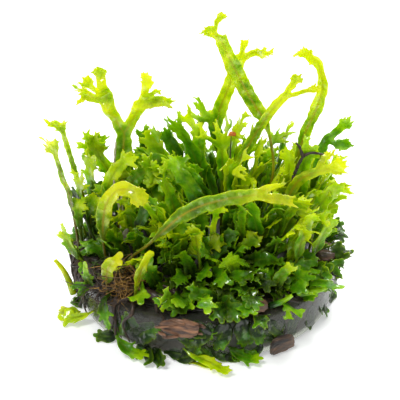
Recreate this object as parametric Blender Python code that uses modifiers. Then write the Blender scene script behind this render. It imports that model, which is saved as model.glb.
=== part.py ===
"""Lace java fern grown into a low puck of clear growing gel, with driftwood and bark in it.

Millimetres in the tables, metres in the meshes, +Z up. The origin is the centre of the puck's
flat underside, and the tuft's open side faces -Y.
"""

import math

import bmesh
import bpy
import numpy as np
from mathutils import Matrix, Vector

MM = 0.001

# Driving dimensions, in millimetres.
PUCK_BOTTOM_RADIUS = 39.5
PUCK_TOP_RADIUS = 41.5
PUCK_HEIGHT = 15.0
PUCK_EDGE = 1.2
PUCK_SEGMENTS = 48
GAP = 0.3
DOME_CENTRE = (3.0, 3.0)
DOME_RADIUS = 30.0
DOME_HEIGHT = 14.0
BLADE_THICKNESS = 0.5
STIPE_WIDTH = 1.0
STATION = 6.0
OPENING = 0.35
LONG_LOBE = 5.0
LOBE_TAPER = 0.6
NOD = 0.006
SPAN_SAMPLES = 16

# Colour, roughness and metallic value of each finish.
FINISHES = {
    "leaf_light": ((0.42, 0.55, 0.04), 0.35, 0.0),
    "leaf_green": ((0.16, 0.34, 0.02), 0.35, 0.0),
    "leaf_dark": ((0.03, 0.12, 0.01), 0.35, 0.0),
    "gel": ((0.55, 0.58, 0.55), 0.15, 0.0),
    "wood": ((0.10, 0.06, 0.04), 0.8, 0.0),
    "root": ((0.12, 0.08, 0.04), 0.8, 0.0),
    "dead_frond": ((0.06, 0.04, 0.02), 0.6, 0.0),
}


def arm(angle, length, width, *tips):
    """One arm of a forked frond: its angle from the frond's own line, in degrees, and what it forks into."""
    return (angle, length, width, tips)


def fan(count, middle, spread, length, width):
    """Even pointed lobes across a spread of angles, the middle ones longest."""
    turns = np.linspace(-1.0, 1.0, count)
    return tuple(
        arm(middle + turn * spread / 2, length * (1.0 - 0.25 * abs(turn)), width) for turn in turns
    )


FRONT = (0.0, -1.0, 0.15)
LEFT_FRONT = (-0.5, -0.85, 0.15)
RIGHT_FRONT = (0.5, -0.85, 0.15)
UP_FRONT = (0.0, -0.75, 0.65)
BACK = (0.0, 1.0, 0.3)
LEFT_BACK = (-0.7, 0.7, 0.3)
RIGHT_BACK = (0.7, 0.7, 0.3)

# Every frond: node name, finish, the way its upper side faces, blade width, stipe length, the points
# of its midrib from the root to the fork and one beyond it, and the arms of its crest.
FRONDS = (
    ("frond_forked_left", "leaf_light", FRONT, 5.4, 9.0,
     ((-27.5, 2, 20.5), (-26.5, 4, 31), (-26, 6, 42), (-25.2, 6.5, 53), (-25, 7, 66)),
     (arm(-24, 13, 4.6,
          arm(-80, 5, 3.6, arm(-125, 5, 1.4), arm(-41, 6.5, 1.6), arm(-20, 4.5, 1.4)),
          arm(-8, 7.5, 3.2, arm(-60, 3.3, 1.2), arm(-25, 3, 1.2), arm(28, 3.7, 1.4))),
      arm(26, 11.5, 4.4,
          arm(22, 8, 2.6, arm(-12, 3.4, 1), arm(10, 5.2, 1.1), arm(42, 4.2, 1)),
          arm(64, 6.5, 3.0, arm(26, 3.8, 1.2), arm(66, 5.5, 1.6), arm(115, 4.5, 1.6))))),
    ("frond_far_left", "leaf_light", LEFT_FRONT, 2.3, 12.0,
     ((-39.8, -1.5, 15.8), (-41.8, -3, 35), (-44.3, -4, 45), (-45.5, -4, 51), (-47.3, -4, 57)),
     (arm(-60, 5.5, 1.3), arm(-25, 8, 1.6), arm(0, 6.5, 1.8), arm(25, 7, 1.8))),
    ("frond_far_left_thin", "leaf_light", FRONT, 1.7, 16.0,
     ((-35.5, 8, 18.5), (-39.5, 7, 34), (-42.5, 6, 47), (-44, 6, 53.5), (-45.5, 6, 58)),
     (arm(-32, 7, 1.5), arm(-8, 5, 1.5), arm(28, 4.5, 1.5))),
    ("frond_left_fan", "leaf_light", RIGHT_FRONT, 2.6, 9.0,
     ((-26.5, 10.5, 21), (-29, 10, 36), (-33, 9, 43.5), (-35.5, 8.5, 48)),
     (arm(-34, 7, 1.8), arm(0, 5, 2.6, arm(-12, 9.5, 1.6), arm(4, 8.5, 1.6), arm(20, 9, 1.6)),
      arm(42, 9, 1.8))),
    ("frond_left_lobed", "leaf_light", LEFT_FRONT, 3.2, 7.0,
     ((-37.5, 4, 16), (-39.8, 2, 27), (-39.3, 1.5, 36), (-38.6, 1, 44)),
     (arm(-50, 4, 1.2), arm(-18, 7, 2), arm(15, 8, 2), arm(50, 5, 1.4))),
    ("frond_arched_left", "leaf_light", UP_FRONT, 4.6, 8.0,
     ((-30.2, -14, 19), (-31.3, -15, 30.4), (-30, -16, 40.4), (-26.2, -17.5, 46.3),
      (-21.5, -19.5, 46.8), (-17.5, -21, 43.5)),
     (arm(-35, 4, 1.3), arm(-5, 5, 1.6), arm(25, 5, 1.6), arm(58, 4, 1.4))),
    ("frond_long_front", "leaf_light", FRONT, 4.6, 13.0,
     ((-23.6, -24, 24.8), (-16.7, -26, 33.2), (-8.3, -28, 43), (-1.9, -28.4, 47.2), (5.3, -28.5, 49.6),
      (14, -26.6, 50), (22, -23.5, 49)),
     (arm(-22, 6, 2.6, arm(-34, 4, 1.4), arm(-8, 4, 1.4)), arm(14, 8, 3.0, arm(-6, 4.5, 1.4),
          arm(24, 4.5, 1.4)))),
    ("frond_tall_centre", "leaf_light", FRONT, 4.8, 24.0,
     ((18.5, 5, 28), (20.8, 5.5, 40), (20, 7.5, 49), (18, 8, 56), (13.2, 8, 64.5), (9.7, 8, 71.6),
      (6.7, 8, 78), (4.6, 8, 83), (3, 8, 86)),
     (arm(-15, 4.5, 2.6, arm(-60, 4.5, 1.2), arm(-28, 5.5, 1.3), arm(20, 4, 1.1),
          arm(34, 5, 1.4, arm(60, 3, 1.1), arm(100, 3.2, 1.0))),
      arm(55, 3, 1.0))),
    ("frond_crossing", "leaf_light", FRONT, 4.0, 6.0,
     ((9.4, 2.5, 34), (9.8, 3, 44), (13.2, 3, 51), (16.6, 2, 58), (20.4, 2, 64), (23.2, 2, 67.4),
      (25.4, 2, 70)),
     (arm(-4, 5.5, 2.4, arm(-30, 3.2, 1.2), arm(-6, 4.5, 1.3), arm(22, 3.5, 1.2)), arm(27, 10.5, 1.8))),
    ("frond_tall_back", "leaf_light", FRONT, 4.8, 12.0,
     ((6.5, 19.5, 29), (3, 20, 42), (3.8, 20, 52.2), (7.2, 20, 62.5), (10.4, 20, 71.5), (12.4, 20, 76)),
     (arm(-10, 4.0, 1.8), arm(34, 4.5, 1.6, arm(44, 6.5, 2.4)))),
    ("frond_tall_right", "leaf_light", LEFT_FRONT, 4.2, 14.0,
     ((27, 8, 27), (28, 7.5, 42), (30.6, 6.2, 53.5), (33.4, 6, 61), (35.2, 6, 69), (33.6, 6, 76.6),
      (31, 6, 79.5)),
     (arm(-55, 3.5, 1.3), arm(-12, 3.4, 3.2, arm(-34, 5, 1.4), arm(0, 4, 1.4), arm(42, 4.4, 1.4)))),
    ("frond_right_edge", "leaf_green", FRONT, 3.2, 8.0,
     ((31, 3, 27), (34, 3, 41), (36.2, 3, 51.6), (39.5, 3, 54.3)),
     (arm(-8, 7, 2.6, arm(-34, 3.5, 1.3), arm(-12, 5.5, 1.5), arm(14, 4.5, 1.3)),
      arm(38, 5, 2.6, arm(4, 3.2, 1.3), arm(28, 4, 1.5), arm(58, 3, 1.2)))),
    ("frond_right_yellow", "leaf_light", UP_FRONT, 3.2, 9.0,
     ((21.5, -7.5, 27), (26.7, -9.5, 43.5), (32.4, -12, 49.2), (36.8, -12.5, 51.3)),
     (arm(-32, 4, 2.2, arm(-44, 4.5, 1.3), arm(-18, 6.5, 1.4)),
      arm(8, 4.5, 2.8, arm(-14, 5.5, 1.4), arm(5, 6.5, 1.4), arm(24, 6, 1.4)))),
    ("frond_right_low", "leaf_green", RIGHT_FRONT, 2.6, 8.0,
     ((31.6, -7.5, 18.5), (33.7, -9.2, 33), (37, -10.5, 40.5), (39.6, -11.5, 43.6)),
     fan(4, 0, 80, 5.0, 1.5)),
    ("frond_mid_crest", "leaf_light", LEFT_FRONT, 2.6, 7.0,
     ((21, -13, 25.2), (22.6, -15.5, 34), (20.8, -17, 42), (19.3, -17.5, 47)),
     fan(5, 0, 120, 5.0, 1.5)),
    ("frond_right_inner", "leaf_green", LEFT_FRONT, 4.0, 8.0,
     ((24.8, 0.5, 27), (25.4, 0, 38), (25.4, -0.5, 46), (25.6, -0.5, 51)),
     fan(4, -8, 75, 6.0, 1.8)),
    ("frond_right_broad", "leaf_green", FRONT, 4.6, 9.0,
     ((29, -2.5, 24), (28.8, -4, 40), (30, -5, 50), (33, -5.5, 55.5)),
     (arm(-30, 5, 2, arm(-40, 3, 1), arm(-10, 3, 1)), arm(6, 6, 2.2), arm(40, 5, 1.8))),
    ("frond_forked_back", "leaf_green", LEFT_FRONT, 5.0, 8.0,
     ((-0.5, 10, 30.5), (-4, 11.5, 43.5), (-7.5, 12, 50.2), (-9.7, 12, 55)),
     (arm(-44, 7.5, 2.0), arm(-14, 7, 2.2), arm(20, 8, 2.0))),
    ("frond_dark_crest", "leaf_green", FRONT, 4.0, 9.0,
     ((8, 13.5, 29.5), (4.8, 15, 43), (2, 15.5, 52), (-1, 15.5, 57.5)),
     (arm(-38, 7.5, 1.8), arm(-8, 3.5, 2.4, arm(-18, 6, 1.5), arm(6, 7.5, 1.5)), arm(40, 5.5, 1.8))),
    ("frond_narrow_crest", "leaf_light", FRONT, 3.4, 8.0,
     ((4.9, 2.8, 30.5), (5, 2, 42), (4.8, 1, 50.2), (4.7, 0.5, 55.5)),
     (arm(-42, 6, 2.4, arm(-70, 4, 1.2), arm(-26, 7, 1.4)), arm(-10, 11, 1.8), arm(10, 7, 1.6),
      arm(32, 6, 2.2, arm(18, 6, 1.3), arm(58, 5, 1.3)))),
    ("frond_broad_centre", "leaf_green", LEFT_FRONT, 5.5, 8.0,
     ((2, -6.5, 29.8), (-0.4, -8.5, 40), (-4.6, -9, 46.5), (-9, -9, 52)),
     fan(5, 0, 95, 5.0, 2.0)),
    ("frond_broad_right", "leaf_green", RIGHT_FRONT, 5.0, 6.0,
     ((10.2, -4.5, 29.8), (9, -5.2, 38), (8, -5.5, 45), (7.6, -5.5, 50)),
     fan(5, 0, 105, 5.0, 2.0)),
    ("frond_front_right", "leaf_green", LEFT_FRONT, 5.0, 6.0,
     ((15.8, -16.3, 25.6), (15.2, -18.5, 33), (14.2, -19.5, 39.5), (13.6, -20, 44)),
     fan(4, 0, 80, 4.6, 2.0)),
    ("frond_right_front", "leaf_green", RIGHT_FRONT, 4.6, 8.0,
     ((26.5, -19.5, 16.5), (28, -22, 30), (30, -23.5, 38.5), (32.4, -24, 43.5)),
     fan(4, 5, 80, 5.0, 1.8)),
    ("frond_right_side", "leaf_green", RIGHT_FRONT, 4.0, 6.0,
     ((31, -13.5, 16.5), (34, -15, 26), (36.4, -16, 32.5), (38.8, -16.5, 36.5)),
     fan(4, 0, 85, 4.6, 1.8)),
    ("frond_right_short", "leaf_light", RIGHT_FRONT, 3.0, 3.5,
     ((35.5, 3, 16), (38.2, 1.5, 20), (42.2, 0, 24.6)),
     fan(3, 0, 70, 4.0, 1.5)),
    ("frond_left_middle", "leaf_green", LEFT_FRONT, 4.0, 4.0,
     ((-21.5, -10, 23.8), (-20, -10.5, 31), (-17.8, -11, 36.5), (-14, -11.5, 39.8)),
     fan(4, 0, 80, 4.4, 1.6)),
    ("frond_left_inner", "leaf_green", FRONT, 4.6, 5.0,
     ((-20.5, 5.5, 24.8), (-20, 6.5, 33), (-17, 7.5, 38.5), (-12.5, 7.5, 41)),
     fan(3, 0, 60, 5.0, 2.0)),
    ("frond_behind_left", "leaf_green", RIGHT_FRONT, 5.0, 6.0,
     ((-15, 16, 25.8), (-17, 17, 36), (-19.3, 17.5, 44.5), (-21, 18, 49.5)),
     (arm(-20, 5, 2.2), arm(22, 5, 2.2))),
    ("frond_behind_centre", "leaf_green", LEFT_BACK, 4.4, 6.0,
     ((-6, 18.5, 28.5), (-9, 19.5, 38), (-11.8, 20, 43.5), (-14, 20, 47)),
     fan(4, 0, 80, 4.4, 1.8)),
    ("frond_middle_left", "leaf_green", LEFT_FRONT, 4.0, 5.0,
     ((-2, -22.6, 24.2), (-2.6, -23.4, 29.5), (-3.2, -24, 34.5), (-3.8, -24.4, 39)),
     fan(5, 0, 110, 4.2, 1.6)),
    ("frond_middle_front", "leaf_green", UP_FRONT, 4.0, 4.0,
     ((8.5, -25.5, 20.3), (7.6, -28, 26.5), (7, -29.5, 31.5)),
     fan(5, 0, 120, 5.4, 1.7)),
    ("leaf_spoon", "leaf_light", LEFT_FRONT, 4.4, 5.0,
     ((-29.8, -27, 15.6), (-29.6, -28.5, 23.5), (-28, -30, 28.5), (-23.5, -31, 32)),
     (arm(-14, 4, 2.6), arm(20, 3.4, 2.2))),
    ("leaf_front_light", "leaf_light", RIGHT_FRONT, 3.0, 5.0,
     ((-21.8, -31.5, 15.7), (-19.6, -33, 27), (-17.3, -34, 33.2), (-14.6, -34.6, 37.6)),
     (arm(-16, 3, 1.6), arm(18, 2.6, 1.5))),
    ("leaf_front_lobed", "leaf_light", UP_FRONT, 3.4, 2.0,
     ((-6.5, -34.5, 15.9), (-10.5, -37, 19.8), (-14.5, -38.6, 21.4)),
     (arm(-40, 4, 2.0), arm(0, 4, 2.0), arm(48, 4.5, 2.0))),
    ("leaf_front_flat", "leaf_green", UP_FRONT, 4.4, 2.0,
     ((4, -33.5, 15.9), (-1.5, -35.5, 21.3), (-6.4, -37, 24.6)),
     (arm(-30, 3.6, 2.2), arm(8, 5.5, 2.4))),
    ("leaf_streaked", "leaf_light", FRONT, 3.6, 3.0,
     ((20.5, -27.5, 15.8), (21.3, -29, 21.8), (23.4, -30, 26), (26, -30.5, 29)),
     (arm(-24, 3.6, 1.8), arm(22, 3.8, 1.8))),
    ("leaf_left_crest", "leaf_light", LEFT_FRONT, 3.4, 3.0,
     ((-38.2, -9, 15.8), (-41, -9.5, 20.5), (-43, -9.8, 24.2), (-44.8, -10, 28)),
     fan(3, 0, 60, 4.6, 1.8)),
    ("leaf_front_dark", "leaf_dark", UP_FRONT, 4.6, 1.5,
     ((11, -31.5, 15.9), (10.3, -34, 19.8), (9.8, -36.2, 22)),
     fan(3, 0, 70, 3.6, 2.2)),
    ("frond_back_left", "leaf_green", LEFT_BACK, 4.2, 4.0,
     ((-20.5, 23, 16), (-22.5, 26.5, 23), (-24, 29, 27)),
     fan(4, 0, 90, 4.6, 1.8)),
    ("frond_back", "leaf_green", BACK, 4.8, 4.0,
     ((-9.4, 31, 16.5), (-10.4, 33.2, 26), (-11.2, 34.7, 31)),
     fan(4, 0, 90, 5.0, 2.0)),
    ("frond_back_middle", "leaf_green", BACK, 4.8, 4.0,
     ((5, 33.6, 16), (5.6, 36, 25), (6.4, 38, 30.5)),
     fan(4, 0, 90, 5.0, 2.0)),
    ("frond_back_right", "leaf_green", RIGHT_BACK, 4.8, 4.0,
     ((19.6, 28.4, 18.5), (21.8, 30.8, 27), (23.2, 32.5, 31.5)),
     fan(4, 0, 90, 5.0, 2.0)),
    ("frond_right_back", "leaf_green", RIGHT_BACK, 4.4, 4.0,
     ((31.5, 16.5, 17), (34.5, 18.5, 25.5), (36.6, 20, 30)),
     fan(4, 0, 90, 4.6, 1.8)),
    ("floor_leaf_left", "leaf_light", (0.0, 0.0, 1.0), 3.8, 1.5,
     ((-39.6, -14.2, 0.8), (-42.6, -14.2, 0.8), (-45.4, -13.6, 0.8)),
     (arm(-28, 3.2, 2.0), arm(4, 3.8, 2.2), arm(34, 3.2, 2.0))),
    ("floor_leaf_front", "leaf_light", (0.0, 0.0, 1.0), 2.0, 2.0,
     ((-5.2, -41, 0.8), (2.2, -43.6, 0.8), (8, -46.4, 0.8)),
     (arm(-16, 2.6, 1.0), arm(14, 2.8, 1.1))),
)

# Rolled young leaves and stalks, as round rods: name, finish, radius, points.
RODS = (
    ("rolled_leaf_left", "leaf_light", 1.1,
     ((-41.6, -9.6, 4.6), (-42.8, -9.2, 8.8), (-44.6, -8.6, 12.8), (-47, -8, 16))),
    ("rolled_leaf_right", "leaf_green", 1.1,
     ((27.8, -27.6, 16.6), (31.5, -28.6, 17.6), (36, -29.2, 19.6))),
    ("rolled_leaf_front", "leaf_green", 1.0, ((18.6, -34.2, 16.4), (22.4, -35, 18.4), (25.2, -35.4, 20.8))),
    ("dead_stalk", "dead_frond", 0.7,
     ((26.5, 12.5, 26.5), (28.2, 12.5, 35), (31.2, 12.8, 41), (36.6, 13, 42.2))),
    ("rhizome_left", "root", 1.5, ((-36.8, -12.5, 17.2), (-34.8, -17, 17.4), (-33.6, -21.5, 17.2))),
    ("rhizome_front", "root", 1.5, ((-19, -28, 17.4), (-14.5, -31, 17.4), (-10.5, -33.5, 17.2))),
)

# Lumps of wood and roots: name, finish, centre, half sizes, turn about Z and lean about X in degrees.
LUMPS = (
    ("bark_flake", "wood", (-7.6, -43.2, 14.4), (6.2, 0.8, 2.6), -11, 0),
    ("rotten_wood", "wood", (36.6, -6, 17.6), (3.4, 5.2, 2.1), 12, 0),
    ("wood_knob", "wood", (15.6, -35.6, 17.3), (2.4, 1.8, 1.9), 20, 0),
    ("red_wood_chip", "wood", (22.4, -35.6, 3.4), (4.4, 0.9, 2.9), 32, -4),
    ("root_ball", "root", (-25.6, -24, 18.9), (3.4, 3.0, 3.4), 0, 0),
)


def material(finish):
    """The material of one finish, made once and shared by the pieces that have it."""
    found = bpy.data.materials.get(finish)
    if found:
        return found
    colour, roughness, metallic = FINISHES[finish]
    made = bpy.data.materials.new(finish)
    made.use_nodes = True
    shader = made.node_tree.nodes["Principled BSDF"]
    shader.inputs["Base Color"].default_value = (*colour, 1.0)
    shader.inputs["Roughness"].default_value = roughness
    shader.inputs["Metallic"].default_value = metallic
    made.diffuse_color = (*colour, 1.0)
    return made


def place(name, data, finish):
    """A named object in the fern's collection, with its finish."""
    piece = bpy.data.objects.new(name, data)
    data.materials.append(material(finish))
    bpy.data.collections["java_fern"].objects.link(piece)
    return piece


def smooth_path(points):
    """Catmull-Rom curve through the points, in metres: places and their distances along it."""
    knots = np.array(points, dtype=float) * MM
    padded = np.vstack((2 * knots[0] - knots[1], knots, 2 * knots[-1] - knots[-2]))
    turn = np.linspace(0.0, 1.0, SPAN_SAMPLES, endpoint=False)[:, None]
    spans = []
    for before, start, end, after in zip(padded, padded[1:], padded[2:], padded[3:]):
        spans.append(
            0.5 * (2 * start + (end - before) * turn
                   + (2 * before - 5 * start + 4 * end - after) * turn ** 2
                   + (3 * start - before - 3 * end + after) * turn ** 3)
        )
    places = np.vstack((*spans, knots[-1:]))
    steps = np.linalg.norm(np.diff(places, axis=0), axis=1)
    return places, np.concatenate(((0.0,), np.cumsum(steps)))


def unit(vectors):
    """The vectors at length one."""
    return vectors / np.linalg.norm(vectors, axis=-1, keepdims=True)


def lay_on_midrib(flat, points, facing):
    """Bend flat places (across, along) onto the midrib: its curve, its side way and a nod at the tip."""
    places, run = smooth_path(points)
    fork = run[-1 - SPAN_SAMPLES]
    tangents = unit(np.gradient(places, run, axis=0))
    across, along = flat[:, 0], flat[:, 1]
    inside = np.minimum(along, run[-1])
    centre = np.stack([np.interp(inside, run, places[:, axis]) for axis in range(3)], axis=1)
    tangent = unit(np.stack([np.interp(inside, run, tangents[:, axis]) for axis in range(3)], axis=1))
    side = unit(np.cross(tangent, facing))
    upper = np.cross(side, tangent)
    past = np.maximum(along - fork, 0.0)
    lift = NOD / MM * past ** 2
    return centre + tangent * (along - inside)[:, None] + side * across[:, None] + upper * lift[:, None]


def add_row(flat, middle, across, width, count):
    """A row of points across the blade, left to right, and their numbers."""
    first = len(flat)
    for share in np.linspace(-0.5, 0.5, count):
        flat.append(middle + across * share * width)
    return list(range(first, first + count))


def grow_arm(flat, faces, base, start, lobe):
    """Grow one arm out of a fork, from the edge between two of its points: a strip that forks or a tip."""
    angle, length, width, tips = lobe
    heading = math.radians(angle)
    along = np.array((math.sin(heading), math.cos(heading)))
    across = np.array((math.cos(heading), -math.sin(heading)))
    if not tips and length > LONG_LOBE:
        row = add_row(flat, start + along * length * MM / 2, across, LOBE_TAPER * width * MM, 2)
        faces.append((*base, row[1], row[0]))
        base = row
    if not tips:
        flat.append(start + along * length * MM)
        faces.append((*base, len(flat) - 1))
        return
    row = add_row(flat, start + along * length * MM, across, width * MM, len(tips) + 1)
    faces.append((*base, *reversed(row)))
    for edge, tip in zip(zip(row, row[1:]), tips):
        grow_arm(flat, faces, edge, start + along * length * MM, tip)


def frond(name, finish, facing, width, stipe, points, arms):
    """One frond: a narrow stipe that widens to a blade, forked into arms, as a sheet with a thickness."""
    _, run = smooth_path(points)
    fork = run[-1 - SPAN_SAMPLES]
    blade = fork - stipe * MM
    up = np.array((1.0, 0.0))
    stem_shares = np.linspace(0, 1, 1 + math.ceil(stipe / STATION))
    stations = [(share * stipe * MM, STIPE_WIDTH) for share in stem_shares]
    for share in np.linspace(0, 1, 2 + round(blade / MM / STATION))[1:-1]:
        opened = min(1.0, share / OPENING) ** 0.7
        stations.append((stipe * MM + share * blade, STIPE_WIDTH + (width - STIPE_WIDTH) * opened))
    flat, faces = [], []
    row = None
    for distance, wide in stations:
        new = add_row(flat, np.array((0.0, distance)), up, wide * MM, 2)
        if row:
            faces.append((*row, new[1], new[0]))
        row = new
    crown = add_row(flat, np.array((0.0, fork)), up, 0.95 * width * MM, len(arms) + 1)
    faces.append((*row, *reversed(crown)))
    for edge, lobe in zip(zip(crown, crown[1:]), arms):
        grow_arm(flat, faces, edge, np.array((0.0, fork)), lobe)
    mesh = bpy.data.meshes.new(name)
    mesh.from_pydata(lay_on_midrib(np.array(flat), points, np.array(facing)).tolist(), [], faces)
    piece = place(name, mesh, finish)
    wall = piece.modifiers.new("blade", "SOLIDIFY")
    wall.thickness = BLADE_THICKNESS * MM
    wall.offset = 0.0


def rod(name, finish, radius, points):
    """A round rod along a smooth curve, with filled ends."""
    places, _ = smooth_path(points)
    route = places[::SPAN_SAMPLES // 4]
    curve = bpy.data.curves.new(name, "CURVE")
    curve.dimensions = "3D"
    curve.bevel_depth = radius * MM
    curve.bevel_resolution = 1
    curve.use_fill_caps = True
    spline = curve.splines.new("POLY")
    spline.points.add(len(route) - 1)
    for point, spot in zip(spline.points, route):
        point.co = (*spot, 1.0)
    place(name, curve, finish)


def lump(name, finish, centre, half_sizes, turn, lean):
    """A rounded lump: a cube's cage, unevenly pulled, under a subdivision surface."""
    mesh = bpy.data.meshes.new(name)
    cage = bmesh.new()
    bmesh.ops.create_cube(cage, size=2.0)
    bmesh.ops.subdivide_edges(cage, edges=cage.edges[:], cuts=1, use_grid_fill=True)
    for number, corner in enumerate(cage.verts):
        pull = 1.0 + 0.14 * math.sin(2.4 * number)
        corner.co = Vector(np.array(corner.co) * half_sizes * pull * MM)
    cage.to_mesh(mesh)
    cage.free()
    spin = Matrix.Rotation(math.radians(turn), 4, "Z") @ Matrix.Rotation(math.radians(lean), 4, "X")
    piece = place(name, mesh, finish)
    piece.matrix_world = Matrix.Translation(Vector(centre) * MM) @ spin
    smooth = piece.modifiers.new("round", "SUBSURF")
    smooth.levels = 1
    smooth.render_levels = 1


def turned(name, finish, profile, segments, centre):
    """A turned solid: a closed profile (radius, height), top to bottom on its outer side, under a Screw."""
    mesh = bpy.data.meshes.new(name)
    places = [(radius * MM, 0.0, height * MM) for radius, height in profile]
    mesh.from_pydata(places, [(spot, spot + 1) for spot in range(len(places) - 1)], [])
    piece = place(name, mesh, finish)
    piece.location = (centre[0] * MM, centre[1] * MM, 0.0)
    spin = piece.modifiers.new("turn", "SCREW")
    spin.steps = segments
    spin.render_steps = segments
    spin.use_merge_vertices = True
    spin.merge_threshold = 0.00001
    return piece


def gel_puck():
    """The low puck of gel: flat underside, wall that widens upwards, small rounded edges."""
    corner = [
        (PUCK_TOP_RADIUS - PUCK_EDGE * (1 - math.sin(turn)), PUCK_HEIGHT - PUCK_EDGE * (1 - math.cos(turn)))
        for turn in np.radians((0, 30, 60, 90))
    ]
    profile = [(0.0, PUCK_HEIGHT), *corner, (PUCK_BOTTOM_RADIUS, 0.0), (0.0, 0.0)]
    turned("gel_puck", "gel", profile, PUCK_SEGMENTS, (0.0, 0.0))


def undergrowth():
    """The dense small fronds, runners and roots between the big stipes, as one dome on the gel."""
    floor = PUCK_HEIGHT + GAP
    arc = [
        (DOME_RADIUS * math.sin(turn), floor + 1.0 + (DOME_HEIGHT - 1.0) * math.cos(turn))
        for turn in np.radians((0, 20, 40, 60, 75, 90))
    ]
    turned("undergrowth", "leaf_dark", [*arc, (DOME_RADIUS, floor), (0.0, floor)], 24, DOME_CENTRE)


def main():
    for leftover in list(bpy.data.objects):
        bpy.data.objects.remove(leftover)
    bpy.context.scene.collection.children.link(bpy.data.collections.new("java_fern"))
    gel_puck()
    undergrowth()
    for row in FRONDS:
        frond(*row)
    for row in RODS:
        rod(*row)
    for row in LUMPS:
        lump(*row)


main()
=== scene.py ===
"""Looks of the lace java fern tuft: its fronds, undergrowth, roots and wood, and the gel puck.

Every blade starts as a flat outline, the union of tapered ribs, which is then laid on a bent midrib.
Tables are in millimetres, meshes in metres, +Z up, and the tuft's open side faces -Y.
"""

import math

import bpy
import numpy as np
from mathutils import Matrix, Vector


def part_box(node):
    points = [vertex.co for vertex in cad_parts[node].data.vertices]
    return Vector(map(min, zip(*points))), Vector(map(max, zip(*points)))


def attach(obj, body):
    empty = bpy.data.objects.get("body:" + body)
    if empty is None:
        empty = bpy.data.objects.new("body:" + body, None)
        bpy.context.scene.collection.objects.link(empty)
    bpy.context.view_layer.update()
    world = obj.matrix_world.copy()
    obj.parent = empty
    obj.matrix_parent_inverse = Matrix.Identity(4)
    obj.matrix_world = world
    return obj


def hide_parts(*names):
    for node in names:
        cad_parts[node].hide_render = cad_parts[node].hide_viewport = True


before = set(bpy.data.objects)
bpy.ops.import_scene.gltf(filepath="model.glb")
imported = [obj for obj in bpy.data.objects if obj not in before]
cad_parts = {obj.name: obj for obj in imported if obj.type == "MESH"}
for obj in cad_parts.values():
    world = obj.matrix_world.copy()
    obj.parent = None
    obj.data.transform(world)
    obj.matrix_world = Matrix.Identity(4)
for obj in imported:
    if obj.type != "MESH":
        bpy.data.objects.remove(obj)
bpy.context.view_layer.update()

MM = 0.001
SPAN_SAMPLES = 16  # places on each span of a midrib
FINE_CELL = 0.34  # grid of the fronds that are seen singly
SMALL_CELL = 0.42  # grid of the many small leaves
WEB = 0.13  # how widely neighbouring ribs run together
STIPE_HALF = 0.5
FLESH_HALF = 0.17  # half a blade's thickness
RIB_REACH = 0.32  # how far from its line a rib shows
FLOOR_GAP = 0.15
TOOTH_SPREAD = 52.0  # degrees, each way
WIDEST_WEB = 110  # degrees between lobes that share a web
LACE_LENGTH = 3.7  # lobes longer than this may leave a hole between them
LACE_ANGLE = 45
LACE_CHANCE = 0.3
LACE_SHARE = 0.62  # where the bridge over the hole stands along the lobes
LACE_HALF = 0.36
SEEDS_APART = 1000
MIDDLE = np.array((3.0, 3.0))  # where the tuft grows from, on the puck's top
GEL_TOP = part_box("gel_puck")[1][2] / MM
GEL_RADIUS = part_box("gel_puck")[1][0] / MM


# ---- Flat outlines ------------------------------------------------------------------------------

def arm(angle, length, width, *tips):
    """One arm of a forked frond: its angle from the frond's line, in degrees, and what it forks into."""
    return (angle, length, width, tips)


def fan(count, middle, spread, length, width):
    """Even pointed lobes across a spread of angles, the middle ones longest."""
    turns = np.linspace(-1.0, 1.0, count)
    return tuple(arm(middle + turn * spread / 2, length * (1.0 - 0.25 * abs(turn)), width) for turn in turns)


def heading(angle):
    """The flat direction (across, along) at an angle from the frond's own line."""
    return np.array((math.sin(math.radians(angle)), math.cos(math.radians(angle))))


def add_teeth(ribs, start, end, angle, width, chance):
    """Pointed teeth fanned round a lobe's end, webbed at their roots, and a smaller one on each side."""
    length = float(np.linalg.norm(end - start))
    size = min(max(0.4 * width + 0.22 * length, 1.0), 2.6)
    count = 3 if width < 1.5 else 4
    for turn in np.linspace(-TOOTH_SPREAD, TOOTH_SPREAD, count) + chance.uniform(-9, 9, count):
        root = start + (end - start) * chance.uniform(0.5, 0.74)
        reach = size * (1.15 - 0.3 * abs(turn) / TOOTH_SPREAD) * chance.uniform(0.75, 1.3)
        ribs.append((root, root + heading(angle + turn) * reach, 0.3 * width, 0.05))
    for side in (-1, 1):
        root = start + (end - start) * chance.uniform(0.15, 0.4)
        reach = 0.45 * width + chance.uniform(0.4, 1.2)
        tip = root + heading(angle + side * chance.uniform(35, 60)) * reach
        ribs.append((root, tip, 0.24 * width, 0.05))


def add_webs(ribs, fork, lobes, chance):
    """The flesh between neighbouring lobes: it fills their angle, or bridges them over a small hole."""
    for left, right in zip(lobes, lobes[1:]):
        opening = right[0] - left[0]
        if opening >= WIDEST_WEB:
            continue
        shorter = min(left[1], right[1])
        if shorter > LACE_LENGTH and opening < LACE_ANGLE and chance.random() < LACE_CHANCE:
            near, far = (fork + heading(lobe[0]) * LACE_SHARE * shorter for lobe in (left, right))
            ribs.append((near, far, LACE_HALF, LACE_HALF))
            continue
        middle = fork + heading(0.5 * (left[0] + right[0])) * min(0.5 * shorter, 3.4)
        ribs.append((fork, middle, 0.42 * min(left[2], right[2]), 0.3))


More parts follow.
